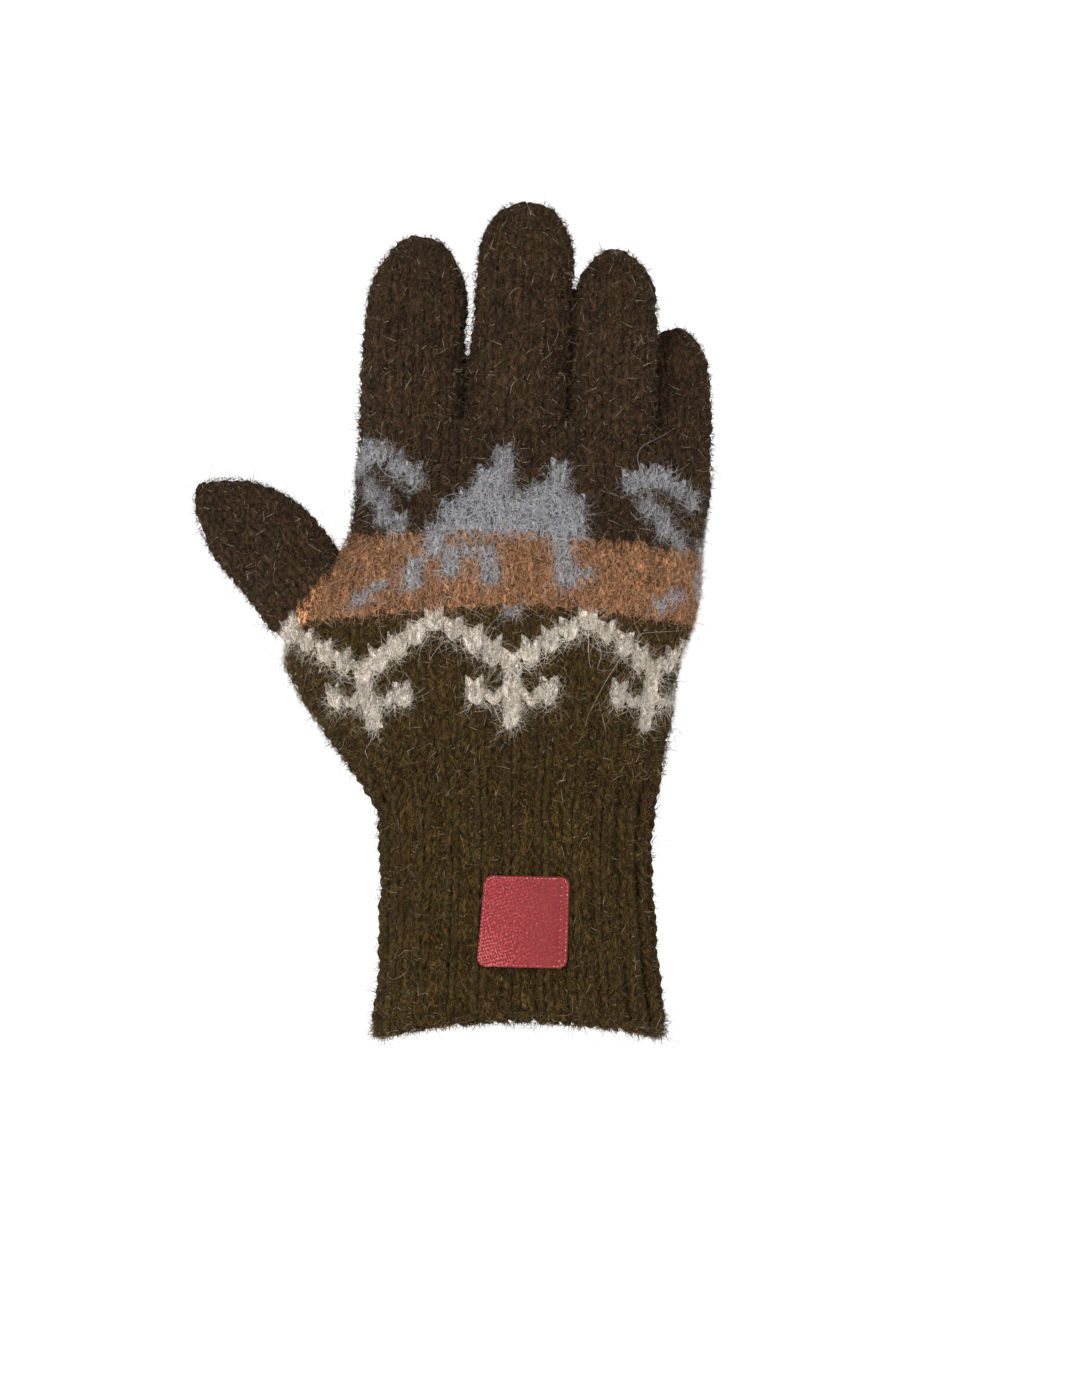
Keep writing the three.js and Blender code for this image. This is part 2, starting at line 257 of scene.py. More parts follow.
class Value:
    """A node socket that can stand in arithmetic: each operator adds one Math node."""

    def __init__(self, net: "Network", socket: bpy.types.NodeSocket) -> None:
        """Keeps the network and the output socket."""
        self.net = net
        self.socket = socket

    def __add__(self, other: "Number") -> "Value":
        """self + other."""
        return self.net.math("ADD", self, other)

    def __radd__(self, other: "Number") -> "Value":
        """other + self."""
        return self.net.math("ADD", other, self)

    def __sub__(self, other: "Number") -> "Value":
        """self - other."""
        return self.net.math("SUBTRACT", self, other)

    def __rsub__(self, other: "Number") -> "Value":
        """other - self."""
        return self.net.math("SUBTRACT", other, self)

    def __mul__(self, other: "Number") -> "Value":
        """self * other."""
        return self.net.math("MULTIPLY", self, other)

    def __rmul__(self, other: "Number") -> "Value":
        """other * self."""
        return self.net.math("MULTIPLY", other, self)

    def __pow__(self, other: "Number") -> "Value":
        """self ** other."""
        return self.net.math("POWER", self, other)

    def ramp(self, low: float, high: float) -> "Value":
        """A smooth step.

        Args:
            low: where it leaves 0.
            high: where it reaches 1.

        Returns:
            0 below low, 1 above high, and smooth between them.
        """
        settings = {"interpolation_type": "SMOOTHSTEP"}
        values = {"Value": self, "From Min": low, "From Max": high}
        return self.net.add("ShaderNodeMapRange", settings, values).out("Result")


Number = Union[Value, float]
Triple = Union[Value, tuple]


def socket_of(sockets: Sequence, name: Union[str, int]) -> bpy.types.NodeSocket:
    """The socket of that number, or of that name among those in use."""
    named = (socket for socket in sockets if socket.name == name and socket.enabled)
    return sockets[name] if isinstance(name, int) else next(named)


class Step:
    """One node of a network, whose outputs are taken by name."""

    def __init__(self, net: "Network", node: bpy.types.Node) -> None:
        """Keeps the network and the node."""
        self.net = net
        self.node = node

    def out(self, name: Union[str, int] = 0) -> Value:
        """The output socket of that name or number."""
        return Value(self.net, socket_of(self.node.outputs, name))


class Network:
    """A node tree, material or geometry, that is written as Python expressions."""

    def __init__(self, tree: bpy.types.NodeTree) -> None:
        """Keeps the tree that every node goes into."""
        self.tree = tree

    def add(self, kind: str, settings: dict | None = None, values: dict | None = None) -> Step:
        """Makes a node.

        Args:
            kind: the node's type.
            settings: properties of the node, set before its sockets are looked up.
            values: a number, colour or linked value for each socket, by name or number.

        Returns:
            The new node.
        """
        node = self.tree.nodes.new(kind)
        for name, value in (settings or {}).items():
            setattr(node, name, value)
        for name, value in (values or {}).items():
            socket = socket_of(node.inputs, name)
            if isinstance(value, Value):
                self.tree.links.new(value.socket, socket)
            else:
                socket.default_value = value
        return Step(self, node)

    def math(self, operation: str, first: Number, second: Number) -> Value:
        """One Math node on two numbers or values."""
        return self.add("ShaderNodeMath", {"operation": operation}, {0: first, 1: second}).out()

    def vector(self, operation: str, first: Value, second: Triple = (0.0, 0.0, 0.0)) -> Value:
        """One Vector Math node on two vectors or colours, channel by channel."""
        return self.add("ShaderNodeVectorMath", {"operation": operation}, {0: first, 1: second}).out()

    def scaled(self, vector: Value, factor: Number) -> Value:
        """A vector times a number."""
        values = {"Vector": vector, "Scale": factor}
        return self.add("ShaderNodeVectorMath", {"operation": "SCALE"}, values).out()

    def length(self, vector: Value) -> Value:
        """How long a vector is, or how pale a colour."""
        return self.add("ShaderNodeVectorMath", {"operation": "LENGTH"}, {0: vector}).out("Value")

    def parts(self, vector: Value) -> tuple[Value, Value, Value]:
        """The three parts of a vector."""
        step = self.add("ShaderNodeSeparateXYZ", None, {"Vector": vector})
        return step.out("X"), step.out("Y"), step.out("Z")

    def mix(self, factor: Number, first: Triple, second: Triple) -> Value:
        """A colour between first and second."""
        values = {"Factor": factor, "A": first, "B": second}
        return self.add("ShaderNodeMix", {"data_type": "RGBA"}, values).out("Result")

    def wave(self, phase: Value) -> Value:
        """A sine of the phase, between 0 and 1."""
        return self.math("SINE", phase, 0.0) * 0.5 + 0.5

    def noise(self, scale: float, detail: float, **more: Union[Value, float]) -> Step:
        """A noise texture.

        Args:
            scale: how fine it is.
            detail: layers of finer noise in it.
            more: values of further sockets, with the place as Vector where it isn't the point's own.

        Returns:
            The node, whose first output is the noise and whose Color is three noises.
        """
        return self.add("ShaderNodeTexNoise", None, {"Scale": scale, "Detail": detail, **more})


class GeometryTree(Network):
    """A Geometry Nodes group with named inputs, run once on one object."""

    def __init__(self, name: str, inputs: dict[str, tuple[str, object]]) -> None:
        """Makes the group and its sockets.

        Args:
            name: the group's name.
            inputs: for each input after the geometry, its socket type and value.
        """
        super().__init__(bpy.data.node_groups.new(name, "GeometryNodeTree"))
        face = self.tree.interface
        face.new_socket("Geometry", in_out="INPUT", socket_type="NodeSocketGeometry")
        face.new_socket("Geometry", in_out="OUTPUT", socket_type="NodeSocketGeometry")
        self.values: dict[str, object] = {}
        for label, (kind, value) in inputs.items():
            socket = face.new_socket(label, in_out="INPUT", socket_type=f"NodeSocket{kind}")
            self.values[socket.identifier] = value
        self.given = self.add("NodeGroupInput")

    def attribute(self, name: str, kind: str) -> Value:
        """A named attribute of the geometry that a node works on."""
        step = self.add("GeometryNodeInputNamedAttribute", {"data_type": kind}, {"Name": name})
        return step.out("Attribute")

    def real(self, geometry: Value) -> Value:
        """Geometry whose instances are made real."""
        return self.add("GeometryNodeRealizeInstances", None, {"Geometry": geometry}).out()

    def moved(self, geometry: Value, way: Value) -> Value:
        """Geometry whose points are moved."""
        return self.add("GeometryNodeSetPosition", None, {"Geometry": geometry, "Offset": way}).out()

    def turned(self, angles: Value) -> Value:
        """A rotation by three angles."""
        return self.add("FunctionNodeEulerToRotation", None, {0: angles}).out()

    def laid(self, points: Value, shape: Value, turn: Value, size: Value) -> Value:
        """One shape on every point, turned and scaled."""
        values = {"Points": points, "Instance": shape, "Rotation": turn, "Scale": size}
        return self.add("GeometryNodeInstanceOnPoints", None, values).out()

    def end(self, geometry: Value) -> None:
        """Ends the tree: real geometry, smooth, with its material.

        Args:
            geometry: what the tree has made.
        """
        smooth = self.add("GeometryNodeSetShadeSmooth", None, {"Geometry": self.real(geometry)}).out()
        values = {"Geometry": smooth, "Material": self.given.out("Material")}
        done = self.add("GeometryNodeSetMaterial", None, values).out()
        self.add("NodeGroupOutput", None, {"Geometry": done})

    def run(self, name: str, base: bpy.types.Mesh, keep: Sequence[str]) -> bpy.types.Object:
        """Runs the tree.

        Args:
            name: the new piece's name.
            base: the mesh that the tree starts from.
            keep: the attributes that the finished mesh still needs.

        Returns:
            A piece with a plain mesh and no modifier.
        """
        carrier = linked(f"{name}_carrier", base)
        modifier = carrier.modifiers.new("knit", "NODES")
        modifier.node_group = self.tree
        for identifier, value in self.values.items():
            modifier[identifier] = value
        mesh = settled(carrier, name)
        bpy.data.node_groups.remove(self.tree)
        extra = [a.name for a in mesh.attributes if a.name not in {*keep, "UVMap", "material_index"}]
        for spare in extra:
            attribute = mesh.attributes[spare]
            if not (attribute.is_required or attribute.is_internal):
                mesh.attributes.remove(attribute)
        return linked(name, mesh)


# Finishes.


@dataclass(frozen=True)
class Finish:
    """A material, whose look each kind of finish paints.

    Args:
        name: the material's name.
    """

    name: str

    def make(self) -> bpy.types.Material:
        """Makes the material.

        Returns:
            The material, with a Principled shader that takes what the finish paints.
        """
        material = bpy.data.materials.new(self.name)
        material.use_nodes = True
        material.node_tree.nodes.clear()
        net = Network(material.node_tree)
        shader = net.add("ShaderNodeBsdfPrincipled", None, self._paint(net)).out("BSDF")
        net.add("ShaderNodeOutputMaterial", None, {"Surface": shader})
        return material

    def _paint(self, net: Network) -> dict[str, object]:
        """The shader's values, by socket."""
        raise NotImplementedError

    @staticmethod
    def _carried(net: Network, name: str, output: str = "Fac") -> Value:
        """An attribute that the mesh carries."""
        return net.add("ShaderNodeAttribute", {"attribute_name": name}).out(output)

    @staticmethod
    def _flat(net: Network) -> Value:
        """The place on the UV map."""
        return net.add("ShaderNodeUVMap", {"uv_map": "UVMap"}).out("UV")


@dataclass(frozen=True)
class WoolFinish(Finish):
    """A fuzzy wool strand, whose colour comes with the stitch it is in.

    Args:
        streaks: how strongly the fibres along the strand show.
        relief: height of those fibres, in metres.
        sheen: strength of the soft rim that loose fibres give.
        hue_drift: how far the hue strays from fibre to fibre, from 0 to 1.
        around_strand: True where the UV map runs along a strand, False on a wall.
    """

    streaks: float = 0.46
    relief: float = 0.00055
    sheen: float = 0.045
    hue_drift: float = 0.75
    around_strand: bool = True

    # Scale, turn and start of each layer of fibres that cross the strands.
    PALE_LAYERS = ((430.0, 0.3, 3.0), (640.0, -0.5, 11.0), (900.0, 1.2, 23.0))
    DEEP_LAYERS = ((520.0, 0.0, 41.0), (760.0, 0.8, 57.0))
    # How far a noise is from its middle value in the core and at the rim of a fibre's line.
    LINE = (0.005, 0.032)
    # The paleness of the darkest yarn and of the palest.
    PALENESS = (0.1, 0.9)
    CLOUD_SCALE = 170.0
    HUE_SCALE = 620.0
    # A pale fibre's colour is its yarn's times the first, plus the second.
    PALE_FIBRE = (2.7, (0.028, 0.021, 0.013))
    DEEP_FIBRE = 0.12

    def _paint(self, net: Network) -> dict[str, object]:
        """Paints the strands, with fibres along and across them.

        Args:
            net: the material's nodes.

        Returns:
            The shader's values, by socket.
        """
        dye = self._carried(net, "dye", "Color")
        shade = self._carried(net, "shade")
        fleck = self._carried(net, "fleck")
        place = net.add("ShaderNodeTexCoord").out("Object")
        streak = self._streaks(net, place, shade)
        pale_hairs = self._layers(net, place, self.PALE_LAYERS)
        deep_hairs = self._layers(net, place, self.DEEP_LAYERS)
        strength = self.streaks + fleck * 0.35
        cloud = net.noise(self.CLOUD_SCALE, 3.0, Vector=place).out()
        hues = net.noise(self.HUE_SCALE, 2.0, Vector=place).out("Color")
        paleness = net.length(dye).ramp(*self.PALENESS)
        drift = self.hue_drift * (1 - paleness * 0.9)
        hues = net.mix(drift, (1.0, 1.0, 1.0, 1.0), net.scaled(hues, 2.0))
        # The stitch's shade is mostly its own random tone; the purl bars and the inner wall carry low
        # shades as painted shade.
        light = (0.44 + shade * 0.6) * (1 - strength + streak * strength * 2) * (0.3 + cloud * 1.3)
        colour = net.vector("MULTIPLY", net.scaled(dye, light), hues)
        gain, lift = self.PALE_FIBRE
        pale = net.vector("ADD", net.scaled(dye, gain), lift)
        deep = deep_hairs * (0.50 + fleck * 0.34) * (1 - paleness * 0.55)
        colour = net.mix(deep, colour, net.scaled(dye, self.DEEP_FIBRE))
        colour = net.mix(pale_hairs * (0.38 + fleck * 0.52), colour, pale)
        height = streak * 0.8 + pale_hairs * 0.5 - deep_hairs * 0.3
        values = {"Strength": 1.0, "Distance": self.relief, "Height": height}
        return {
            "Base Color": colour,
            "Roughness": 0.86 + streak * 0.12,
            "Specular IOR Level": 0.06,
            "Sheen Weight": self.sheen,
            "Sheen Roughness": 0.5,
            "Sheen Tint": (0.95, 0.80, 0.66, 1.0),
            "Normal": net.add("ShaderNodeBump", None, values).out("Normal"),
        }

    def _layers(self, net: Network, place: Value, layers: Sequence[tuple[float, float, float]]) -> Value:
        """Thin curved lines, like fibres lying across: where a noise crosses its middle value.

        Args:
            net: the material's nodes.
            place: where on the object.
            layers: scale, turn and start of each layer of lines.

        Returns:
            1 in the middle of a line, falling to 0 beside it.
        """
        total = None
        for scale, turn, start in layers:
            values = {
                "Vector": place,
                "Location": (start, start, start),
                "Rotation": (turn * 0.4, turn, turn * 0.7),
                "Scale": (scale, scale, scale * 0.42),
            }
            where = net.add("ShaderNodeMapping", None, values).out()
            noise = net.noise(1.0, 1.5, Vector=where, Distortion=0.7).out()
            line = 1 - net.math("ABSOLUTE", noise - 0.5, 0.0).ramp(*self.LINE)
            total = line if total is None else net.math("MAXIMUM", total, line)
        return total

    def _streaks(self, net: Network, place: Value, shade: Value) -> Value:
        """Fibres along each strand, or in all directions on a wall.

        Args:
            net: the material's nodes.
            place: where on the object.
            shade: the stitch's own random number.

        Returns:
            0 between fibres, 1 on them.
        """
        if not self.around_strand:
            return net.noise(900.0, 4.0, Vector=place, Roughness=0.65).out()
        across, along, _ = net.parts(self._flat(net))
        twisted = across * 11.0 + along * 4.0
        values = {"X": twisted, "Y": along * 2.4 + shade * 60.0, "Z": shade * 17.0}
        fibre = net.add("ShaderNodeCombineXYZ", None, values).out()
        return net.noise(1.7, 3.0, Vector=fibre, Roughness=0.65).out().ramp(0.25, 0.75)


@dataclass(frozen=True)
class FibreFinish(Finish):
    """Loose fibres, a little paler than their yarn.

    Args:
        pale_from: the tone, from 0 to 1, above which a fibre is undyed and pale.
        roughness: of the darkest fibres.
    """

    pale_from: float = 0.89
    roughness: float = 0.55

    UNDYED = (0.50, 0.44, 0.34, 1.0)
    # The paleness of the darkest yarn's fibres and of the palest yarn's.
    PALENESS = (0.25, 0.9)

    def _paint(self, net: Network) -> dict[str, object]:
        """Paints each fibre by its yarn and its own tone.

        Args:
            net: the material's nodes.

        Returns:
            The shader's values, by socket.
        """
        loose = self._carried(net, "loose", "Color")
        tone = self._carried(net, "tone")
        paleness = net.length(loose).ramp(*self.PALENESS)
        bright = (0.10 + tone**2 * 1.7) * (1 - paleness) + (0.72 + tone * 0.55) * paleness
        undyed = tone.ramp(self.pale_from, 0.98) * 0.8
        return {
            "Base Color": net.mix(undyed, net.scaled(loose, bright), self.UNDYED),
            "Roughness": self.roughness + tone * 0.2,
            "Specular IOR Level": 0.15,
        }


@dataclass(frozen=True)
class SatinWeaveFinish(Finish):
    """Red satin ribbon: fine warp threads along the UV map's V, floats in slanting steps.

    Args:
        threads: threads across the label.
        lit: linear colour where the floats catch the light.
        deep: linear colour between them, painted shade.
    """

    threads: float = 30.0
    lit: tuple[float, float, float, float] = (0.39, 0.024, 0.030, 1.0)
    deep: tuple[float, float, float, float] = (0.145, 0.004, 0.008, 1.0)

    # GLINT is a painted highlight; SHADED is painted shade towards the right edge.
    GLINT = (0.68, 0.17, 0.165, 1.0)
    WORN = (0.25, 0.010, 0.015, 1.0)
    SHADED = (0.20, 0.012, 0.012, 1.0)

    def _paint(self, net: Network) -> dict[str, object]:
        """Paints the weave: slacker towards the lower left, with a painted highlight there, and in
        painted shade towards the right.

        Args:
            net: the material's nodes.

        Returns:
            The shader's values, by socket.
        """
        flat = self._flat(net)
        across, along, _ = net.parts(flat)
        drift = net.noise(3.5, 2.0, Vector=flat).out()
        wear = net.noise(7.0, 5.0, Vector=flat).out()
        slub = net.noise(38.0, 2.0, Vector=flat).out()
        turn = TURN * self.threads
        warp = net.wave(across * turn + along * (turn * 0.35) + drift * 22.0)
        weft = net.wave(along * (turn * 0.8) - across * (turn * 0.25) + drift * 15.0)
        # Mask of the lower left, where the weave is slacker and a painted highlight glints on it.
        slack_and_glint = (1 - across.ramp(0.05, 0.65)) * (1 - along.ramp(0.1, 0.55) * 0.6)
        thread = warp * weft * (0.35 + slack_and_glint * 0.9) + slub * 2.6 - 1.05
        # Between the painted shade between floats (deep) and the colour where they catch the light
        # (lit).
        colour = net.mix(thread.ramp(0.0, 0.95), self.deep, self.lit)
        glint = (slub + warp * weft * slack_and_glint * 0.35).ramp(0.57, 0.76)
        # Painted highlight: pale glints on the slubs, strongest towards the lower left.
        colour = net.mix(glint * (0.30 + slack_and_glint * 0.4), colour, self.GLINT)
        colour = net.mix(wear.ramp(0.45, 0.7) * 0.4, colour, self.WORN)
        # Painted shade towards the right edge.
        colour = net.mix(across.ramp(0.45, 0.85) * 0.45, colour, self.SHADED)
        values = {"Strength": 0.8, "Distance": 0.16 * MM, "Height": thread + wear * 1.5}
        return {
            "Base Color": colour,
            "Roughness": 0.48 + thread * 0.12,
            "Specular IOR Level": 0.35,
            "Sheen Weight": 0.05,
            "Normal": net.add("ShaderNodeBump", None, values).out("Normal"),
        }


@dataclass(frozen=True)
class SewingThreadFinish(Finish):
    """Twisted polyester thread that sews the label on.

    Args:
        colour: linear colour where a ply catches the light.
        grooves: linear colour between the plies, painted shade.
    """

    colour: tuple[float, float, float, float] = (0.80, 0.40, 0.36, 1.0)
    grooves: tuple[float, float, float, float] = (0.40, 0.08, 0.072, 1.0)

    def _paint(self, net: Network) -> dict[str, object]:
        """Paints the plies, which wind round the thread.

        Args:
            net: the material's nodes.

        Returns:
            The shader's values, by socket.
        """
        around, along, _ = net.parts(self._flat(net))
        # Each stitch's shade sets how far it goes from the painted shade of the grooves to the colour
        # where a ply catches the light.
        ply = net.wave(around * 12.57 + along * 30.0) * 0.3 + self._carried(net, "shade") * 0.7
        return {"Base Color": net.mix(ply, self.grooves, self.colour), "Roughness": 0.5 + ply * 0.1}


# The tubes' surfaces, read from the solid model.


@dataclass
class Places:
    """Points on a tube's surface with the directions there, one row for each.

    Args:
        point: the points.
        across: the directions across, anticlockwise seen from above.
        up: the directions up.
        normal: the directions out.
        girth: the length of the tube's ring at each.
    """

    point: np.ndarray
    across: np.ndarray
    up: np.ndarray
    normal: np.ndarray
    girth: np.ndarray


class TubeSurface:
    """A tube's outer surface as a grid of rings from bottom to top.

    Each ring starts at the front and turns anticlockwise seen from above.
    """

    AROUND = 192
    # How far apart the points are from which the directions are found: points of a ring, and metres.
    ACROSS_STEP = 1.5
    UP_STEP = 1.0 * MM
    FARTHEST = 50 * MM

    def __init__(self, rings: Sequence[np.ndarray], softness: int = 2) -> None:
        """Evens the rings out and measures the way up them.

        Args:
            rings: rings of points, the lowest first.
            softness: how many times the facets of the solid are smoothed.
        """
        grid = np.array([self._even(ring, self.AROUND) for ring in rings])
        for _ in range(softness):
            grid = (np.roll(grid, 1, 1) + 2 * grid + np.roll(grid, -1, 1)) / 4
            inner = (grid[:-2] + 2 * grid[1:-1] + grid[2:]) / 4
            grid = np.concatenate([grid[:1], inner, grid[-1:]])
        self.grid = grid
        steps = np.linalg.norm(np.diff(grid, axis=0), axis=2).mean(axis=1)
        self.way = np.concatenate([[0.0], np.cumsum(steps)])

    @staticmethod
    def _even(ring: np.ndarray, count: int) -> np.ndarray:
        """Evens out a ring.

        Args:
            ring: its points.
            count: how many points it gets.

        Returns:
            The new points, evenly spaced along the ring from its first point.
        """
        closed = np.vstack([ring, ring[:1]])
        lengths = np.concatenate([[0.0], np.cumsum(np.linalg.norm(np.diff(closed, axis=0), axis=1))])
        wanted = np.arange(count) / count * lengths[-1]
        return np.stack([np.interp(wanted, lengths, closed[:, k]) for k in range(3)], axis=1)

    @property
    def height(self) -> float:
        """The whole way from the lowest ring to the highest."""
        return float(self.way[-1])

    def _at(self, round_part: np.ndarray, way: np.ndarray) -> np.ndarray:
        """Points of the surface.

        Args:
            round_part: parts of a turn from the front.
            way: the way up from the lowest ring, in metres.

        Returns:
            The points, between the four nearest of the grid.
        """
        station = np.interp(way, self.way, np.arange(len(self.way)))
        low = np.clip(station.astype(int), 0, len(self.way) - 2)
        rise = (station - low)[:, None]
        spot = np.mod(round_part, 1.0) * self.AROUND
        left = spot.astype(int) % self.AROUND
        right = (left + 1) % self.AROUND
        turn = (spot - np.floor(spot))[:, None]
        bottom = self.grid[low, left] * (1 - turn) + self.grid[low, right] * turn
        top = self.grid[low + 1, left] * (1 - turn) + self.grid[low + 1, right] * turn
        return bottom * (1 - rise) + top * rise

    def places(self, round_part: np.ndarray, way: np.ndarray) -> Places:
        """Points and directions on the surface.

        Args:
            round_part: parts of a turn from the front.
            way: the way up from the lowest ring, in metres.

        Returns:
            The points, the directions across, up and out, and the girth of the tube there.
        """
        way = np.clip(way, 0, self.height - 1e-6)
        turn = self.ACROSS_STEP / self.AROUND
        across = self._at(round_part + turn, way) - self._at(round_part - turn, way)
        above = self._at(round_part, np.minimum(way + self.UP_STEP, self.height))
        up = above - self._at(round_part, np.maximum(way - self.UP_STEP, 0))
        girth = np.linalg.norm(across, axis=1) / (2 * turn)
        across = unit(across)
        normal = unit(np.cross(across, unit(up)))
        return Places(self._at(round_part, way), across, np.cross(normal, across), normal, girth)

    def girth_at(self, way: float) -> float:
        """The length of a ring.

        Args:
            way: the way up to it, in metres.

        Returns:
            The length of the ring nearest to that height.
        """
        station = int(round(float(np.interp(way, self.way, np.arange(len(self.way))))))
        ring = self.grid[station]
        return float(np.linalg.norm(ring - np.roll(ring, 1, 0), axis=1).sum())

    def way_at_front(self, z: float) -> float:
        """The way up at which the front of the tube reaches that height."""
        return float(np.interp(z, self.grid[:, 0, 2], self.way))

    def holds(self, points: np.ndarray, depth: float) -> np.ndarray:
        """Finds the points inside the tube, above its open end.

        Args:
            points: the points.
            depth: how deep under the surface a point counts as inside.

        Returns:
            Whether each point is inside.
        """
        tree = self._tree()
        found = np.zeros(len(points), bool)
        for k, point in enumerate(points):
            spot, normal, face, _ = tree.find_nearest(Vector(point), self.FARTHEST)
            if spot is not None and face >= 2 * self.AROUND:
                found[k] = (Vector(point) - spot).dot(normal) < -depth
        return found

    def _tree(self) -> BVHTree:
        """The surface as a search tree whose faces point outwards, row by row."""
        faces = tube_faces(*self.grid.shape[:2])
        return BVHTree.FromPolygons(self.grid.reshape(-1, 3).tolist(), faces.tolist())


def solid_faces(*nodes: str) -> tuple[list, list]:
    """Joins nodes of the solid model.

    Args:
        nodes: their names.

    Returns:
        The points and the faces of all of them.
    """
    points: list = []
    faces: list = []
    for name in nodes:
        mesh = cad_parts[name].data
        start = len(points)
        points.extend(v.co.copy() for v in mesh.vertices)
        faces.extend([start + i for i in p.vertices] for p in mesh.polygons)
    return points, faces


def spokes(across: Vector, deep: Vector, count: int) -> list[Vector]:
    """Directions all round a tube.

    Args:
        across: the direction to the right, seen from the front.
        deep: the direction away from the front.
        count: how many directions.

    Returns:
        The directions from the front, anticlockwise seen from above.
    """
    angles = [FRONT + k / count * TURN for k in range(count)]
    return [across * math.cos(angle) + deep * math.sin(angle) for angle in angles]


def cast_ring(
    surface: BVHTree,
    centre: Vector,
    across: Vector,
    deep: Vector,
    reach: float,
    count: int = 120,
    rises: np.ndarray | None = None,
) -> np.ndarray:
    """One ring of a tube, found by looking in at it from all round.

    Args:
        surface: the faces to look at.
        centre: a point inside the ring.
        across: the direction to the right, seen from the front.
        deep: the direction away from the front.
        reach: how far outside the looking starts.
        count: points in the ring.
        rises: how much higher than the centre each point of the ring is.

    Returns:
        The ring's points from the front, anticlockwise seen from above.
    """
    ring = np.full((count, 3), np.nan)
    for k, out in enumerate(spokes(across, deep, count)):
        rise = Vector((0, 0, 0.0 if rises is None else rises[k]))
        hit = surface.ray_cast(centre + rise + out * reach, -out, reach)[0]
        if hit is not None:
            ring[k] = hit
    seen = ~np.isnan(ring[:, 0])
    turns = np.arange(count)
    for k in range(3):
        ring[:, k] = np.interp(turns, turns[seen], ring[seen, k], period=count)
    return ring


# Knitting.


@dataclass
class StrandShape:
    """The piece of yarn that each half stitch is made of: a fat arched leaf.

    Args:
        length: from end to end.
        thickness: across the middle.
        arch: how far the middle stands out over the ends.
        sides: faces round it.
        name: the object's name.
    """

    length: float = 6.0 * MM
    thickness: float = 2.75 * MM
    arch: float = 1.15 * MM
    sides: int = 6
    name: str = "strand"

    PROFILE = ((0.0, 0.42), (0.2, 0.82), (0.5, 1.0), (0.8, 0.84), (1.0, 0.44))

    def build(self) -> bpy.types.Object:
        """Makes the strand.

        Returns:
            An unlinked object that lies along Y and arches towards Z.
        """
        points, faces, flat = [], [], []
        for along, width in self.PROFILE:
            lift = -self.arch * (2 * along - 1) ** 2
            for side in range(self.sides):
                angle = side / self.sides * TURN
                radius = self.thickness / 2 * width
                points.append(
                    (
                        radius * math.cos(angle),
                        (along - 0.5) * self.length,
                        lift + radius * 0.9 * math.sin(angle),
                    )
                )
        rings = len(self.PROFILE)
        for ring in range(rings - 1):
            for side in range(self.sides):
                a = ring * self.sides + side
                b = ring * self.sides + (side + 1) % self.sides
                faces.append((a, a + self.sides, b + self.sides, b))
                u, w = side / self.sides, (side + 1) / self.sides
                v, t = self.PROFILE[ring][0], self.PROFILE[ring + 1][0]
                flat.extend([(u, v), (u, t), (w, t), (w, v)])
        faces.append(tuple(range(self.sides)))
        faces.append(tuple(reversed(range((rings - 1) * self.sides, rings * self.sides))))
        flat.extend([(side / self.sides, 0.0) for side in range(self.sides)])
        flat.extend([(side / self.sides, 1.0) for side in range(self.sides)])
        mesh = bpy.data.meshes.new(self.name)
        mesh.from_pydata(points, [], faces)
        layer = mesh.uv_layers.new(name="UVMap")
        layer.data.foreach_set("uv", np.array(flat).ravel())
        return bpy.data.objects.new(self.name, mesh)


class StitchCloud:
    """The half stitches of one piece: where each lies, how it turns and what it looks like."""

    def __init__(self) -> None:
        """Starts with no stitches."""
        self.parts: list[dict[str, np.ndarray]] = []

    def add(
        self,
        places: Places,
        lean: np.ndarray,
        size: np.ndarray,
        depth: np.ndarray,
        yarns: Sequence[Yarn],
        shade: np.ndarray,
        keep: np.ndarray | None = None,
    ) -> None:
        """Adds half stitches.

        Args:
            places: where they are on the tube's surface.
            lean: turn of each from the column's direction, in radians, to the left.
            size: scale of each, one row of three numbers.
            depth: how far under the surface each one's middle is.
            yarns: the yarn of each.
            shade: how light each is, from 0 to 1.
            keep: which of them to add, all if left out.
        """
        cos, sin = np.cos(lean)[:, None], np.sin(lean)[:, None]
        along = places.up * cos - places.across * sin
        side = places.across * cos + places.up * sin
        turn = np.stack(
            [
                np.arctan2(along[:, 2], places.normal[:, 2]),
                -np.arcsin(np.clip(side[:, 2], -1, 1)),
                np.arctan2(side[:, 1], side[:, 0]),
            ],
            axis=1,
        )
        dyes = [DYES[y] for y in yarns]
        part = {
            "point": places.point - places.normal * depth[:, None],
            "turn": turn,
            "size": size,
            "dye": np.array([d.base for d in dyes]),
            "fleck": np.array([d.fleck for d in dyes]),
            "shade": shade,
        }
        chosen = np.ones(len(dyes), bool) if keep is None else keep
        self.parts.append({name: values[chosen] for name, values in part.items()})

    def without(self, others: Sequence[TubeSurface], depth: float) -> None:
        """Drops the stitches that lie inside one of the other tubes.

        Args:
            others: the other tubes.
            depth: how deep inside a stitch has to lie.
        """
        for part in self.parts:
            keep = np.ones(len(part["point"]), bool)
            for other in others:
                keep &= ~other.holds(part["point"], depth)
            for name, values in part.items():
                part[name] = values[keep]

    def mesh(self, name: str) -> bpy.types.Mesh:
        """Makes the points that a tree lays its strands on.

        Args:
            name: the mesh's name.

        Returns:
            A mesh of points with attributes.
        """
        joined = {key: np.concatenate([p[key] for p in self.parts]) for key in self.parts[0]}
        mesh = bpy.data.meshes.new(name)
        mesh.from_pydata(joined.pop("point").tolist(), [], [])
        store(mesh, **joined)
        return mesh


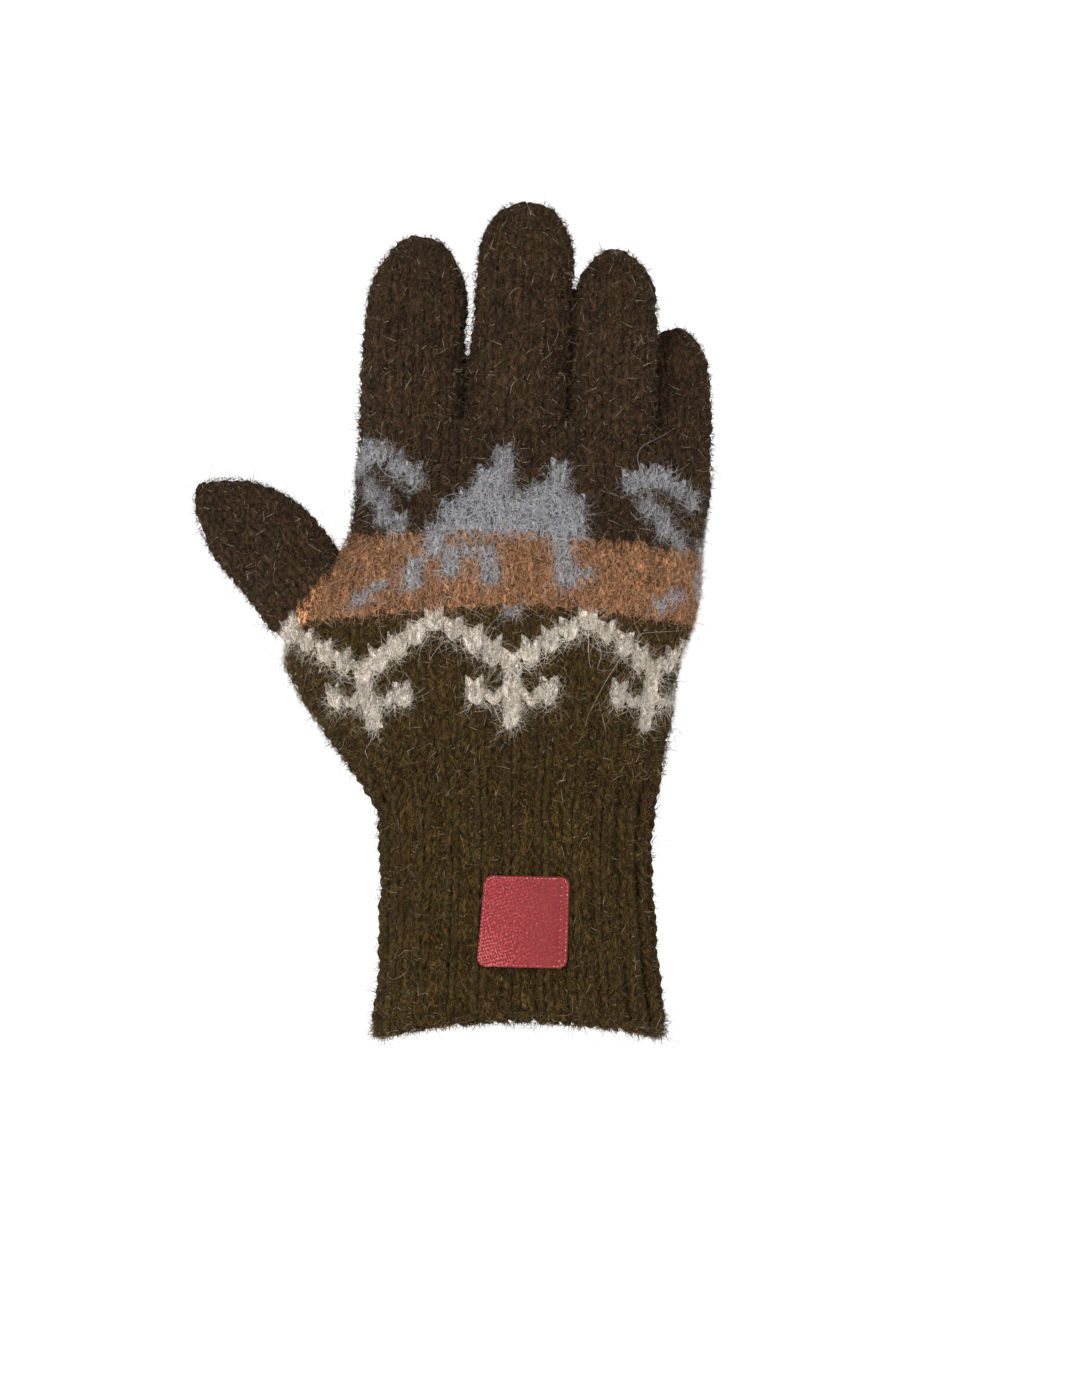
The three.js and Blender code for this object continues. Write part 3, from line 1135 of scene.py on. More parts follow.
@dataclass
class KnitTree:
    """Lays a strand on every point of a stitch cloud.

    Args:
        strand: the strand that is laid.
        finish: the material.
        wobble: how far the yarn strays from its even shape.
    """

    strand: bpy.types.Object
    finish: bpy.types.Material
    wobble: float = 0.42 * MM

    # Scale, detail and strength of each layer of unevenness, the strength as a part of the wobble.
    UNEVEN = ((310.0, 1.0, 2.0), (120.0, 0.0, 3.0))

    def lay(self, name: str, cloud: StitchCloud) -> bpy.types.Object:
        """Lays the strands.

        Args:
            name: the new piece's name.
            cloud: where the stitches are and how each looks.

        Returns:
            The stitches as one finished piece.
        """
        tree = GeometryTree(
            "KnitStitches",
            {
                "Strand": ("Object", self.strand),
                "Wobble": ("Float", self.wobble),
                "Material": ("Material", self.finish),
            },
        )
        given = tree.given
        strand = tree.add("GeometryNodeObjectInfo", None, {"Object": given.out("Strand")})
        turn = tree.turned(tree.attribute("turn", "FLOAT_VECTOR"))
        size = tree.attribute("size", "FLOAT_VECTOR")
        stitches = tree.real(tree.laid(given.out("Geometry"), strand.out("Geometry"), turn, size))
        strays = []
        for scale, detail, strength in self.UNEVEN:
            noise = tree.vector("ADD", tree.noise(scale, detail).out("Color"), CENTRED)
            strays.append(tree.scaled(noise, given.out("Wobble") * strength))
        tree.end(tree.moved(stitches, tree.vector("ADD", *strays)))
        return tree.run(name, cloud.mesh(name), ("dye", "fleck", "shade"))


@dataclass(frozen=True)
class Stretch:
    """How the hand inside draws the net of stitches out of its even shape.

    Args:
        rows: chart rows at which the rises are given.
        left: how far those rows rise at the thumb's side, in millimetres.
        middle: the same at the middle of the back and palm.
        right: the same at the little finger's side.
        spread: how much wider the upper stitches of the back are, as a part of one.
        drift: how many columns the upper stitches of the back have moved to the right.
        upper: chart rows between which both of these set in.
    """

    rows: tuple[float, ...]
    left: tuple[float, ...]
    middle: tuple[float, ...]
    right: tuple[float, ...]
    spread: float
    drift: float
    upper: tuple[float, float] = (8.0, 19.0)

    def rise(self, part: np.ndarray, row: float) -> np.ndarray:
        """How far a chart row rises.

        Args:
            part: parts of a turn from the front.
            row: the chart row.

        Returns:
            The rise at each part, in metres.
        """
        rises = (self.left, self.middle, self.right)
        left, middle, right = (np.interp(row, self.rows, rise) for rise in rises)
        central = (np.cos(part * 4 * math.pi) + 1) / 2
        side = np.where(np.mod(part, 1.0) > 0.5, left, right)
        return (middle * central + side * (1 - central)) * MM

    def turned(self, part: np.ndarray, columns: int, row: float) -> np.ndarray:
        """Where columns run in a chart row.

        Args:
            part: the parts of a turn at which they would run evenly.
            columns: how many there are.
            row: the chart row.

        Returns:
            The parts of a turn at which they do run.
        """
        strength = float(smooth_step(*self.upper, np.array(row)))
        front = (1 + np.cos(part * 2 * math.pi)) / 2
        wider = self.spread * np.sin(part * 2 * math.pi) / (2 * math.pi)
        return part + strength * (wider + self.drift / columns * front)


HAND_STRETCH = Stretch(
    rows=(-3, 0, 8, 10, 17, 25, 30),
    left=(0.0, -1.8, -0.3, -0.7, 6.2, 6.0, 5.0),
    middle=(0.0, -1.2, 4.1, 4.2, 6.2, 6.2, 5.5),
    right=(0.0, -2.0, 0.3, -1.8, 1.2, 0.8, 0.5),
    spread=0.10,
    drift=-0.5,
)


@dataclass
class Knitting:
    """One knitted tube, stitch by stitch.

    Args:
        name: the solid model's node that it stands for.
        slot: the name of its material slot.
        surface: the tube's outer surface.
        columns: stitches round the tube.
        row_height: height of a row.
        first: the way up at which the lowest row starts.
        last: the way up at which the knitting ends.
        yarn: the yarn for a column and row.
        chart_row: the row number of the lowest row.
        ribbed: True where knit and purl columns take turns.
        stretch: how its net is drawn out of shape, if it is.
        tip: True where the tube closes at the top.
        edge_fuzz: how many more loose fibres its lowest row grows than the others.
        seed: start of the unevenness.
        leg_lean: how far each leg of a stitch leans.
        depth: how far under the surface the stitches' middles are.
        others: tubes that hide what lies inside them.
    """

    name: str
    slot: str
    surface: TubeSurface
    columns: int
    row_height: float
    first: float
    last: float
    yarn: Callable[[int, int], Yarn] = cuff_yarn
    chart_row: int = 0
    ribbed: bool = False
    stretch: Stretch | None = None
    tip: bool = False
    edge_fuzz: float = 1.0
    seed: int = 1
    leg_lean: float = math.radians(19)
    depth: float = 0.95 * MM
    others: list[TubeSurface] = field(default_factory=list)

    STITCH_WIDTH = 5.0 * MM
    STITCH_HEIGHT = 3.14 * MM
    # The widest and narrowest that a stitch is drawn, in stitch widths.
    WIDTHS = (0.55, 1.3)
    # The width at which the stitches of a closing tip are knitted together in twos.
    TIP_WIDTH = 0.62
    HIDDEN_DEPTH = 1.9 * MM
    RIB_RELIEF = 0.95 * MM
    RIB_FADE = 10 * MM

    def __post_init__(self) -> None:
        """Starts the seeded generator."""
        self.random = np.random.default_rng(self.seed)

    def way(self, round_part: np.ndarray, row: float) -> np.ndarray:
        """The way up of a row.

        Args:
            round_part: parts of a turn from the front.
            row: the row, counted from the lowest.

        Returns:
            The way up at each part, in metres.
        """
        level = np.full(len(round_part), self.first + row * self.row_height)
        if self.stretch:
            level = level + self.stretch.rise(round_part, row + self.chart_row)
        return level

    def turn(self, column: np.ndarray, columns: int, row: float) -> np.ndarray:
        """Parts of a turn from the front at which columns run in a row."""
        part = column / columns
        return self.stretch.turned(part, columns, row + self.chart_row) if self.stretch else part

    def rows(self) -> list[tuple[int, int]]:
        """Counts the rows and their stitches, fewer where a tip closes.

        Returns:
            Each row's number and how many stitches it has.
        """
        found = []
        columns = self.columns
        count = int((self.last - self.first) / self.row_height)
        for row in range(count):
            if self.tip:
                girth = self.surface.girth_at(self.first + (row + 0.6) * self.row_height)
                while columns > 3 and girth / columns < self.TIP_WIDTH * self.STITCH_WIDTH:
                    columns = max(3, columns // 2)
            found.append((row, columns))
        return found

    def cloud(self) -> StitchCloud:
        """Knits the tube.

        Returns:
            All its half stitches.
        """
        cloud = StitchCloud()
        for row, columns in self.rows():
            knit = [c for c in range(columns) if not (self.ribbed and c % 2)]
            purl = [c for c in range(columns) if self.ribbed and c % 2]
            self._knit_row(cloud, row, columns, knit)
            if purl:
                self._purl_row(cloud, row, columns, purl)
        if self.others:
            cloud.without(self.others, self.HIDDEN_DEPTH)
        return cloud

    def _knit_row(self, cloud: StitchCloud, row: int, columns: int, which: Sequence[int]) -> None:
        """Adds the two legs of each knit stitch of a row.

        Args:
            cloud: what they are added to.
            row: the row, counted from the lowest.
            columns: stitches round the row.
            which: the columns that are knit.
        """
        column = np.array(which, float)
        yarns = [self.yarn_of(c, columns, row) for c in which]
        crowd = self.columns / columns
        offset, slim = (0.25, 0.88) if self.ribbed else (0.235, 1.0)
        for side in (-1, 1):
            part = self.turn(column + side * offset, columns, row)
            jitter = self.random.normal(0, 1, (3, len(column)))
            way = self.way(part, row + 0.98) + jitter[0] * 0.16 * MM
            places = self.surface.places(part, way)
            width = np.clip(places.girth / columns / self.STITCH_WIDTH, *self.WIDTHS)
            height = (self.way(part, row + 1) - self.way(part, row)) / self.STITCH_HEIGHT
            size = np.stack(
                [
                    width * (1 + jitter[1] * 0.06) * min(crowd, 1.15) * slim,
                    height * (1 + jitter[2] * 0.05),
                    0.5 + 0.5 * width,
                ],
                axis=1,
            )
            lean = -side * self.leg_lean * width + jitter[2] * 0.05
            depth = np.full(len(column), self.depth) + jitter[1] * 0.18 * MM
            if self.ribbed:
                depth = depth - self._rib_rise(way) * 0.8
            shade = np.clip(0.5 + self.random.normal(0, 0.22, len(column)), 0, 1)
            cloud.add(places, lean, size, depth, yarns, shade, way < self.surface.height + 1.5 * MM)

    def _purl_row(self, cloud: StitchCloud, row: int, columns: int, which: Sequence[int]) -> None:
        """Adds the sunken bar of each purl stitch of a row.

        Args:
            cloud: what they are added to.
            row: the row, counted from the lowest.
            columns: stitches round the row.
            which: the columns that are purl.
        """
        column = np.array(which, float)
        part = self.turn(column, columns, row)
        jitter = self.random.normal(0, 1, (2, len(column)))
        way = self.way(part, row + 0.5) + jitter[0] * 0.15 * MM
        places = self.surface.places(part, way)
        width = places.girth / columns / self.STITCH_WIDTH
        size = np.stack([np.full(len(column), 0.82), width * 0.8, np.full(len(column), 0.8)], axis=1)
        lean = math.pi / 2 + jitter[1] * 0.12
        depth = self.depth + self._rib_rise(way) * 1.3
        # Painted shade: the purl bars lie in the grooves between the ribs, so their shades sit near 0,
        # below the knit stitches' 0.5.
        shade = np.clip(self.random.normal(0, 0.15, len(column)), 0, 1)
        yarns = [Yarn.DARK] * len(column)
        cloud.add(places, lean, size, depth, yarns, shade)

    def sunk(self, way: np.ndarray) -> np.ndarray:
        """How far under the surface each column of a row lies.

        Args:
            way: the way up of the row at each column, in metres.

        Returns:
            The depths: more in the grooves between the ribs, less on them.
        """
        if not self.ribbed:
            return np.zeros(len(way))
        rise = self._rib_rise(way)
        return np.where(np.arange(len(way)) % 2 == 1, rise * 2.0, -rise * 0.5)

    def _rib_rise(self, way: np.ndarray) -> np.ndarray:
        """How far the ribs stand out, which fades into the hand."""
        return self.RIB_RELIEF * (1 - smooth_step(self.last - self.RIB_FADE, self.last, way))

    def yarn_of(self, column: int, columns: int, row: int) -> Yarn:
        """The yarn of a stitch, whose column is counted both ways from the middle of the back."""
        return self.yarn(column - columns if column > columns // 2 else column, row + self.chart_row)

# Loose fibres.


@dataclass
class Fuzz:
    """A layer of loose fibres that grows out of the knitting.

    Args:
        name: what the layer is called.
        density: fibres on each square metre where the skin's attribute is 1.
        length: the longest fibre.
        thickness: radius of a fibre.
        lift: least and greatest tilt from straight up, in radians.
        seed: seed of everything random.
        where: the skin's attribute that says how densely it grows.
    """

    name: str
    density: float
    length: float
    thickness: float
    lift: tuple[float, float]
    seed: int
    where: str

    # The shortest fibre, as a part of the longest.
    SHORTEST = 0.35

    def grow(self, name: str, skin: bpy.types.Mesh, finish: bpy.types.Material) -> bpy.types.Object:
        """Grows the layer on a skin.

        Args:
            name: the new piece's name.
            skin: the surface, with the attributes loose and those that say where fibres grow.
            finish: the material.

        Returns:
            The fibres as one piece.
        """
        tree = GeometryTree("WoolFuzz", {**self._inputs(), "Material": ("Material", finish)})
        roots, turn = self._roots(tree)
        size = self._pick(tree, 3, self.SHORTEST) * tree.given.out("Length")
        tree.end(self._fibres(tree, roots, turn, size))
        return tree.run(name, skin, ("loose", "tone"))

    def _inputs(self) -> dict[str, tuple[str, object]]:
        """Lists what the tree takes in.

        Returns:
            The socket type and value of each of the tree's inputs.
        """
        return {
            "Density": ("Float", self.density),
            "Length": ("Float", self.length),
            "Thickness": ("Float", self.thickness),
            "Least Lift": ("Float", self.lift[0]),
            "Most Lift": ("Float", self.lift[1]),
            "Seed": ("Int", self.seed),
        }

    def _roots(self, tree: GeometryTree) -> tuple[Value, Value]:
        """Scatters the roots.

        Args:
            tree: the tree.

        Returns:
            The roots with the attributes out and tone, and their turns.
        """
        given = tree.given
        values = {
            "Mesh": given.out("Geometry"),
            "Density": given.out("Density") * tree.attribute(self.where, "FLOAT"),
            "Seed": given.out("Seed"),
        }
        spots = tree.add("GeometryNodeDistributePointsOnFaces", {"distribute_method": "RANDOM"}, values)
        tilt = self._pick(tree, 2, given.out("Least Lift"), given.out("Most Lift"))
        values = {"X": tilt, "Z": self._pick(tree, 1, 0.0, TURN)}
        local = tree.turned(tree.add("ShaderNodeCombineXYZ", None, values).out())
        values = {"Rotation": spots.out("Rotation"), "Rotate By": local}
        turn = tree.add("FunctionNodeRotateRotation", {"rotation_space": "LOCAL"}, values).out()
        roots = spots.out("Points")
        for kind, name, value in (
            ("FLOAT_VECTOR", "out", spots.out("Normal")),
            ("FLOAT", "tone", self._pick(tree, 5)),
        ):
            roots = tree.add(
                "GeometryNodeStoreNamedAttribute",
                {"data_type": kind, "domain": "POINT"},
                {"Geometry": roots, "Name": name, "Value": value},
            ).out()
        return roots, turn

    def _pick(
        self, tree: GeometryTree, step: int, low: Number = 0.0, high: Number = 1.0, **more: Value
    ) -> Value:
        """A random number for each fibre.

        Args:
            tree: the tree.
            step: what sets this draw apart from the layer's others.
            low: the least number.
            high: the greatest.
            more: the node's ID, where the points aren't the fibres.

        Returns:
            The number.
        """
        values = {"Min": low, "Max": high, "Seed": self.seed + step, **more}
        return tree.add("FunctionNodeRandomValue", {"data_type": "FLOAT"}, values).out("Value")

    def _fibres(self, tree: GeometryTree, roots: Value, turn: Value, size: Value) -> Value:
        """The fibres on their roots: each kind of layer has its own."""
        raise NotImplementedError


@dataclass
class Spikes(Fuzz):
    """A dense layer of short straight fibres, each a slim closed spike."""

    def _fibres(self, tree: GeometryTree, roots: Value, turn: Value, size: Value) -> Value:
        """Sets a spike on every root.

        Args:
            tree: the tree.
            roots: the roots.
            turn: which way each fibre points.
            size: each fibre's length.

        Returns:
            The spikes.
        """
        thickness = tree.given.out("Thickness")
        values = {"Vertices": 3, "Radius Top": 0.0, "Radius Bottom": thickness, "Depth": 1.0}
        spike = tree.add("GeometryNodeMeshCone", {"fill_type": "NGON"}, values).out("Mesh")
        scale = tree.add("ShaderNodeCombineXYZ", None, {"X": 1.0, "Y": 1.0, "Z": size}).out()
        return tree.laid(roots, spike, turn, scale)


@dataclass
class Strays(Fuzz):
    """A layer of longer fibres that curl.

    Args:
        curl: how far a fibre strays over its length, as a part of the length.
        waves: how quickly it strays, per metre.
        arch: how far its middle stands out from the surface.
        comb: how far it is brushed up or down, as a part of the length.
        points: points along each fibre.
        beyond: how far outside the solid model's box a fibre may reach before it ends.
    """

    curl: float
    waves: float
    arch: float
    comb: float
    points: int
    beyond: float = 4.5 * MM

    # How much of its way outwards a stray fibre is pressed back.
    PRESSED = 0.75
    # How much thinner a fibre gets towards its end.
    TAPER = 0.65
    # How late along a fibre it starts to stray.
    STIFFNESS = 0.8
    # How far apart the fibres' waves are in the noise.
    SPREAD = (9.0, 9.0, 9.0)

    def _inputs(self) -> dict[str, tuple[str, object]]:
        """Adds what only stray fibres need.

        Returns:
            The socket type and value of each of the tree's inputs.
        """
        low, high = (Vector(corner) for corner in CAD_BOUNDS)
        return {
            **super()._inputs(),
            "Curl": ("Float", self.curl * self.length),
            "Waves": ("Float", self.waves),
            "Arch": ("Float", self.arch),
            "Comb": ("Float", self.comb * self.length),
            "Points": ("Int", self.points),
            "Middle": ("Vector", ((low + high) / 2)[:]),
            "Reach": ("Vector", ((high - low) / 2 + Vector((1, 1, 1)) * self.beyond)[:]),
        }

    def _fibres(self, tree: GeometryTree, roots: Value, turn: Value, size: Value) -> Value:
        """Lays a curling fibre on every root.

        Args:
            tree: the tree.
            roots: the roots.
            turn: which way each fibre starts.
            size: each fibre's length.

        Returns:
            The fibres, as far as they stay in reach of the solid model.
        """
        given = tree.given
        line = tree.add("GeometryNodeCurvePrimitiveLine", None, {"End": (0.0, 0.0, 1.0)}).out()
        values = {"Curve": line, "Count": given.out("Points")}
        line = tree.add("GeometryNodeResampleCurve", None, values).out()
        real = tree.real(tree.laid(roots, line, turn, size))
        way = tree.add("GeometryNodeSplineParameter").out("Factor")
        curve = self._within(tree, tree.moved(real, self._stray(tree, way)))
        values = {"Resolution": 3, "Radius": given.out("Thickness")}
        ring = tree.add("GeometryNodeCurvePrimitiveCircle", None, values).out()
        taper = 1 - way * self.TAPER
        values = {"Curve": curve, "Profile Curve": ring, "Scale": taper, "Fill Caps": True}
        return tree.add("GeometryNodeCurveToMesh", None, values).out()

    def _stray(self, tree: GeometryTree, way: Value) -> Value:
        """How far each point of a fibre strays: it curls, arches outwards and is combed.

        Args:
            tree: the tree.
            way: the way along the fibre, from 0 to 1.

        Returns:
            The way that the point moves.
        """
        given = tree.given
        which = tree.add("GeometryNodeCurveOfPoint").out("Curve Index")
        values = {"Max": self.SPREAD, "ID": which, "Seed": self.seed + 4}
        spread = tree.add("FunctionNodeRandomValue", {"data_type": "FLOAT_VECTOR"}, values).out("Value")
        place = tree.add("GeometryNodeInputPosition").out()
        where = tree.vector("ADD", tree.scaled(place, given.out("Waves")), spread)
        noise = tree.vector("ADD", tree.noise(1.0, 0.0, Vector=where).out("Color"), CENTRED)
        stray = tree.scaled(noise, given.out("Curl") * 2.0 * way**self.STIFFNESS)
        out = tree.attribute("out", "FLOAT_VECTOR")
        bow = tree.scaled(out, given.out("Arch") * way * (1 - way) * 4.0)
        brushed = self._pick(tree, 6, -1.0, ID=which) * given.out("Comb") * way
        comb = tree.add("ShaderNodeCombineXYZ", None, {"Z": brushed}).out()
        step = tree.add("ShaderNodeVectorMath", {"operation": "DOT_PRODUCT"}, {0: stray, 1: out})
        pressed = tree.scaled(out, step.out("Value") * -self.PRESSED)
        for more in (pressed, bow, comb):
            stray = tree.vector("ADD", stray, more)
        return stray

    @staticmethod
    def _within(tree: GeometryTree, curve: Value) -> Value:
        """Ends each fibre where it leaves the box that it may fill.

        Args:
            tree: the tree, with its inputs Middle and Reach.
            curve: the fibres.

        Returns:
            The fibres, without their points outside the box.
        """
        place = tree.add("GeometryNodeInputPosition").out()
        away = tree.vector("ABSOLUTE", tree.vector("SUBTRACT", place, tree.given.out("Middle")))
        x, y, z = tree.parts(tree.vector("SUBTRACT", away, tree.given.out("Reach")))
        most = tree.math("MAXIMUM", tree.math("MAXIMUM", x, y), z)
        values = {"Geometry": curve, "Selection": tree.math("GREATER_THAN", most, 0.0)}
        return tree.add("GeometryNodeDeleteGeometry", {"domain": "POINT"}, values).out()


LAYERS = (
    Spikes("stubble", 820000, 2.4 * MM, 0.09 * MM, (0.0, 1.1), 53, "grow"),
    Spikes("brush", 1900000, 5.2 * MM, 0.09 * MM, (1.2, 1.52), 71, "brush"),
    Strays(
        "nap", 80000, 5.0 * MM, 0.075 * MM, (0.1, 1.45), 11, "grow",
        curl=0.55, waves=300.0, arch=0.2 * MM, comb=0.4, points=3,
    ),
    Strays(
        "halo", 18000, 9.0 * MM, 0.055 * MM, (0.4, 1.5), 23, "grow",
        curl=0.7, waves=130.0, arch=0.8 * MM, comb=0.3, points=7,
    ),
    Strays(
        "guard_hair", 4600, 24.0 * MM, 0.06 * MM, (1.38, 1.56), 41, "grow",
        curl=0.9, waves=75.0, arch=0.7 * MM, comb=0.2, points=18,
    ),
)


@dataclass
class FuzzSkin:
    """The surface that a tube's loose fibres grow from.

    Args:
        rise: how far outside the surface it lies.
        edge_drop: how far it hangs below the hem.
        under_drop: how far the band that turns in under the hem hangs below it.
        under_inset: how far inside the surface that band ends.
        groove_depth: how far a column lies inside the surface to count as a groove.
        groove_share: how many fibres grow in a groove, as a part of those elsewhere.
        beside_share: how many brushed fibres lie on the stitches beside brushed yarn, as a
            part of that yarn's.
        hidden_depth: how deep inside another tube it is left out.
    """

    rise: float = 0.2 * MM
    edge_drop: float = 1.2 * MM
    under_drop: float = 1.6 * MM
    under_inset: float = 2.6 * MM
    groove_depth: float = 0.3 * MM
    groove_share: float = 0.35
    beside_share: float = 0.7
    hidden_depth: float = 1.0 * MM

    def build(self, knit: Knitting) -> bpy.types.Mesh:
        """Makes the skin of one tube.

        Args:
            knit: the tube's knitting.

        Returns:
            A mesh with the attributes loose, grow and brush.
        """
        hem = knit.edge_fuzz > 1
        rows = int((knit.last - knit.first) / knit.row_height)
        around = knit.columns
        levels = [0] * hem + list(range(rows + 1))
        points = []
        kept: dict[str, list] = {"loose": [], "grow": [], "brush": []}
        for step, row in enumerate(levels):
            middle = min(row + 0.5, rows) if row else 0
            part = knit.turn(np.arange(around), around, middle)
            way = knit.way(part, middle)
            places = knit.surface.places(part, way)
            sunk = knit.sunk(way)
            under = hem and step == 0
            inward = np.full(around, self.under_inset) if under else sunk - self.rise
            spot = places.point - places.normal * inward[:, None]
            if hem and row == 0:
                spot[:, 2] -= self.under_drop if under else self.edge_drop
            points.append(spot)
            for column in range(around):
                dye = DYES[knit.yarn_of(column, around, row)]
                beside = ((-1, 0), (1, 0), (0, -1), (0, 1))
                most = max(DYES[knit.yarn_of(column + c, around, row + r)].brush for c, r in beside)
                sparse = self.groove_share if sunk[column] > self.groove_depth else 1.0
                kept["loose"].append(dye.loose)
                kept["grow"].append(dye.fuzz * (sparse if row else knit.edge_fuzz))
                kept["brush"].append(max(dye.brush, most * self.beside_share))
        faces = tube_faces(len(levels), around)
        spots = np.concatenate(points)
        hidden = np.zeros(len(spots), bool)
        for other in knit.others:
            hidden |= other.holds(spots, self.hidden_depth)
        mesh = bpy.data.meshes.new("skin")
        mesh.from_pydata(spots.tolist(), [], faces[~hidden[faces].all(axis=1)].tolist())
        store(mesh, **kept)
        return mesh


def finish_piece(piece: bpy.types.Object, slot: str, *stands_for: str) -> None:
    """Fixes a piece to the glove and logs it.

    Args:
        piece: the finished piece.
        slot: the name of a material slot; not used.
        stands_for: nodes of the solid model that it takes the place of.
    """
    if stands_for:
        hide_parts(*stands_for)
    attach(piece, BODY)
    LOG.info("%s: %d faces", piece.name, len(piece.data.polygons))


# The glove.


@dataclass
class Hand:
    """The patterned hand and the ribbed cuff below it, and what they have in common.

    Args:
        middle_x: where the middle column of the back of the hand runs.
        cuff_top: height where the cuff ends.
        web: height of the web between the fingers; not used.
        slope: how the line of the knuckles falls to the right.
        columns: stitches round the hand and the cuff.
        hem_arch: how much higher the hem is at the middle of the back and palm.
        arch_end: height where that arch has faded.
        mouth_low: the lowest point of the thumb's mouth, right and up.
        mouth_high: the highest point of the thumb's mouth.
        mouth_y: how far back the middle of the mouth is.
        mouth_half_depth: half its size from front to back.
        knuckles: heights between which the rings take on the knuckles' slope.
    """

    middle_x: float = -2.5 * MM
    cuff_top: float = 78 * MM
    web: float = 171.6 * MM
    slope: float = 0.06
    columns: int = 48
    hem_arch: float = 5 * MM
    arch_end: float = 24 * MM
    mouth_low: tuple[float, float] = (-67.2 * MM, 107.2 * MM)
    mouth_high: tuple[float, float] = (-49.4 * MM, 136.7 * MM)
    mouth_y: float = 4 * MM
    mouth_half_depth: float = 12.2 * MM
    knuckles: tuple[float, float] = (140 * MM, 174 * MM)

    MIDDLE_Y = 1.5 * MM
    REACH = 140 * MM
    # Start, end and step of the heights of the rings: cuff, hand, near the web.
    HEIGHTS = ((0.4, 77.0, 2.9), (79.5, 160.0, 2.5), (160.5, 171.0, 1.2), (171.3, 171.4, 1.0))
    MOUTH_POINTS = 24
    SOFTNESS = 3
    # The number of waves round a ring that its broad shape has.
    BROAD_WAVES = 8
    # The rings that close the top: how much of the depth stays, and the rise in millimetres.
    WEB_RINGS = ((0.8, 0.5), (0.5, 1.0), (0.15, 1.2))

    def surface(self) -> TubeSurface:
        """Reads the outer surface from the hem to the web, with the thumb's mouth closed.

        Returns:
            The surface of the cuff and the hand.
        """
        tree = self._closed_tree()
        rings = []
        deep = Vector((0, 1, 0))
        for z in np.concatenate([np.arange(*span) for span in self.HEIGHTS]) * MM:
            tilt = self.slope * float(smooth_step(*self.knuckles, np.array(z)))
            across = Vector((1, 0, -tilt))
            centre = Vector((self.middle_x, self.MIDDLE_Y, z))
            arch = self.hem_arch * (1 - float(smooth_step(0, self.arch_end, np.array(z))))
            ring = cast_ring(tree, centre + Vector((0, 0, arch)), across, deep, self.REACH)
            if arch > 0:
                half = np.ptp(ring[:, 0]) / 2
                edge = (ring[:, 0] - ring[:, 0].min()) / half - 1
                ring = cast_ring(tree, centre, across, deep, self.REACH, rises=arch * (1 - edge**2))
            if z < self.cuff_top:
                ring = self._without_ribs(ring)
            rings.append(ring)
        rings.extend(self._web(rings[-1]))
        return TubeSurface(rings, self.SOFTNESS)

    def _closed_tree(self) -> BVHTree:
        """Joins the cuff's and hand's faces and a disc across the thumb's mouth.

        Returns:
            The faces as a search tree.
        """
        points, faces = solid_faces("cuff", "hand")
        low = Vector((self.mouth_low[0], self.mouth_y, self.mouth_low[1]))
        high = Vector((self.mouth_high[0], self.mouth_y, self.mouth_high[1]))
        middle = (low + high) / 2
        along = (high - low) / 2
        start = len(points)
        count = self.MOUTH_POINTS
        count = 24
        for k in range(count):
            angle = k / count * TURN
            back = Vector((0, self.mouth_half_depth, 0))
            points.append(middle + along * math.cos(angle) + back * math.sin(angle))
        faces.append([start + k for k in range(count)])
        return BVHTree.FromPolygons(points, faces)

    @classmethod
    def _without_ribs(cls, ring: np.ndarray) -> np.ndarray:
        """Smooths the ribs away.

        Args:
            ring: a ring of the cuff.

        Returns:
            The ring with only its broad shape, a little outside the grooves.
        """
        waves = np.fft.fft(ring, axis=0)
        waves[cls.BROAD_WAVES + 1 : -cls.BROAD_WAVES] = 0
        return np.real(np.fft.ifft(waves, axis=0))

    @classmethod
    def _web(cls, ring: np.ndarray) -> list[np.ndarray]:
        """Closes the top of the hand between the fingers.

        Args:
            ring: the hand's highest ring.

        Returns:
            Smaller and smaller rings above it.
        """
        middle_y = np.interp(ring[:, 0], *cls._spine(ring))
        found = []
        for keep, lift in cls.WEB_RINGS:
            closer = ring.copy()
            closer[:, 1] = middle_y + (ring[:, 1] - middle_y) * keep
            closer[:, 0] = ring[:, 0].mean() + (ring[:, 0] - ring[:, 0].mean()) * (0.9 + 0.1 * keep)
            closer[:, 2] += lift * MM
            found.append(closer)
        return found

    @staticmethod
    def _spine(ring: np.ndarray) -> tuple[np.ndarray, np.ndarray]:
        """Finds the line halfway between the front and back of a ring.

        Args:
            ring: the ring, which starts at the front.

        Returns:
            Places from left to right, and how far back the line is at each.
        """
        half = len(ring) // 2
        steps = np.linspace(ring[:, 0].min(), ring[:, 0].max(), 24)
        back = ring[ring[:, 0].argmax() : ring[:, 0].argmin() + 1]
        front = np.roll(ring, half, 0)
        front = front[front[:, 0].argmin() : front[:, 0].argmax() + 1]
        high = np.interp(steps, back[::-1, 0], back[::-1, 1])
        low = np.interp(steps, front[:, 0], front[:, 1])
        return steps, (high + low) / 2

    def knitting(self, surface: TubeSurface) -> tuple[Knitting, Knitting]:
        """Knits the cuff and the hand.

        Args:
            surface: the outer surface of both.

        Returns:
            The cuff's and the hand's knitting.
        """
        start = surface.way_at_front(CHART_BOTTOM) - ROWS_BELOW_CHART * CHART_ROW
        hem = 1.2 * MM
        cuff = Knitting(
            "cuff", "cuff_wool", surface, self.columns, (start - hem) / CUFF_ROWS, hem, start + 1e-6,
            ribbed=True, edge_fuzz=6.0, seed=5,
        )
        hand = Knitting(
            "hand", "patterned_wool", surface, self.columns, CHART_ROW, start, surface.height,
            yarn=chart_yarn, chart_row=-ROWS_BELOW_CHART, stretch=HAND_STRETCH, seed=7,
        )
        return cuff, hand


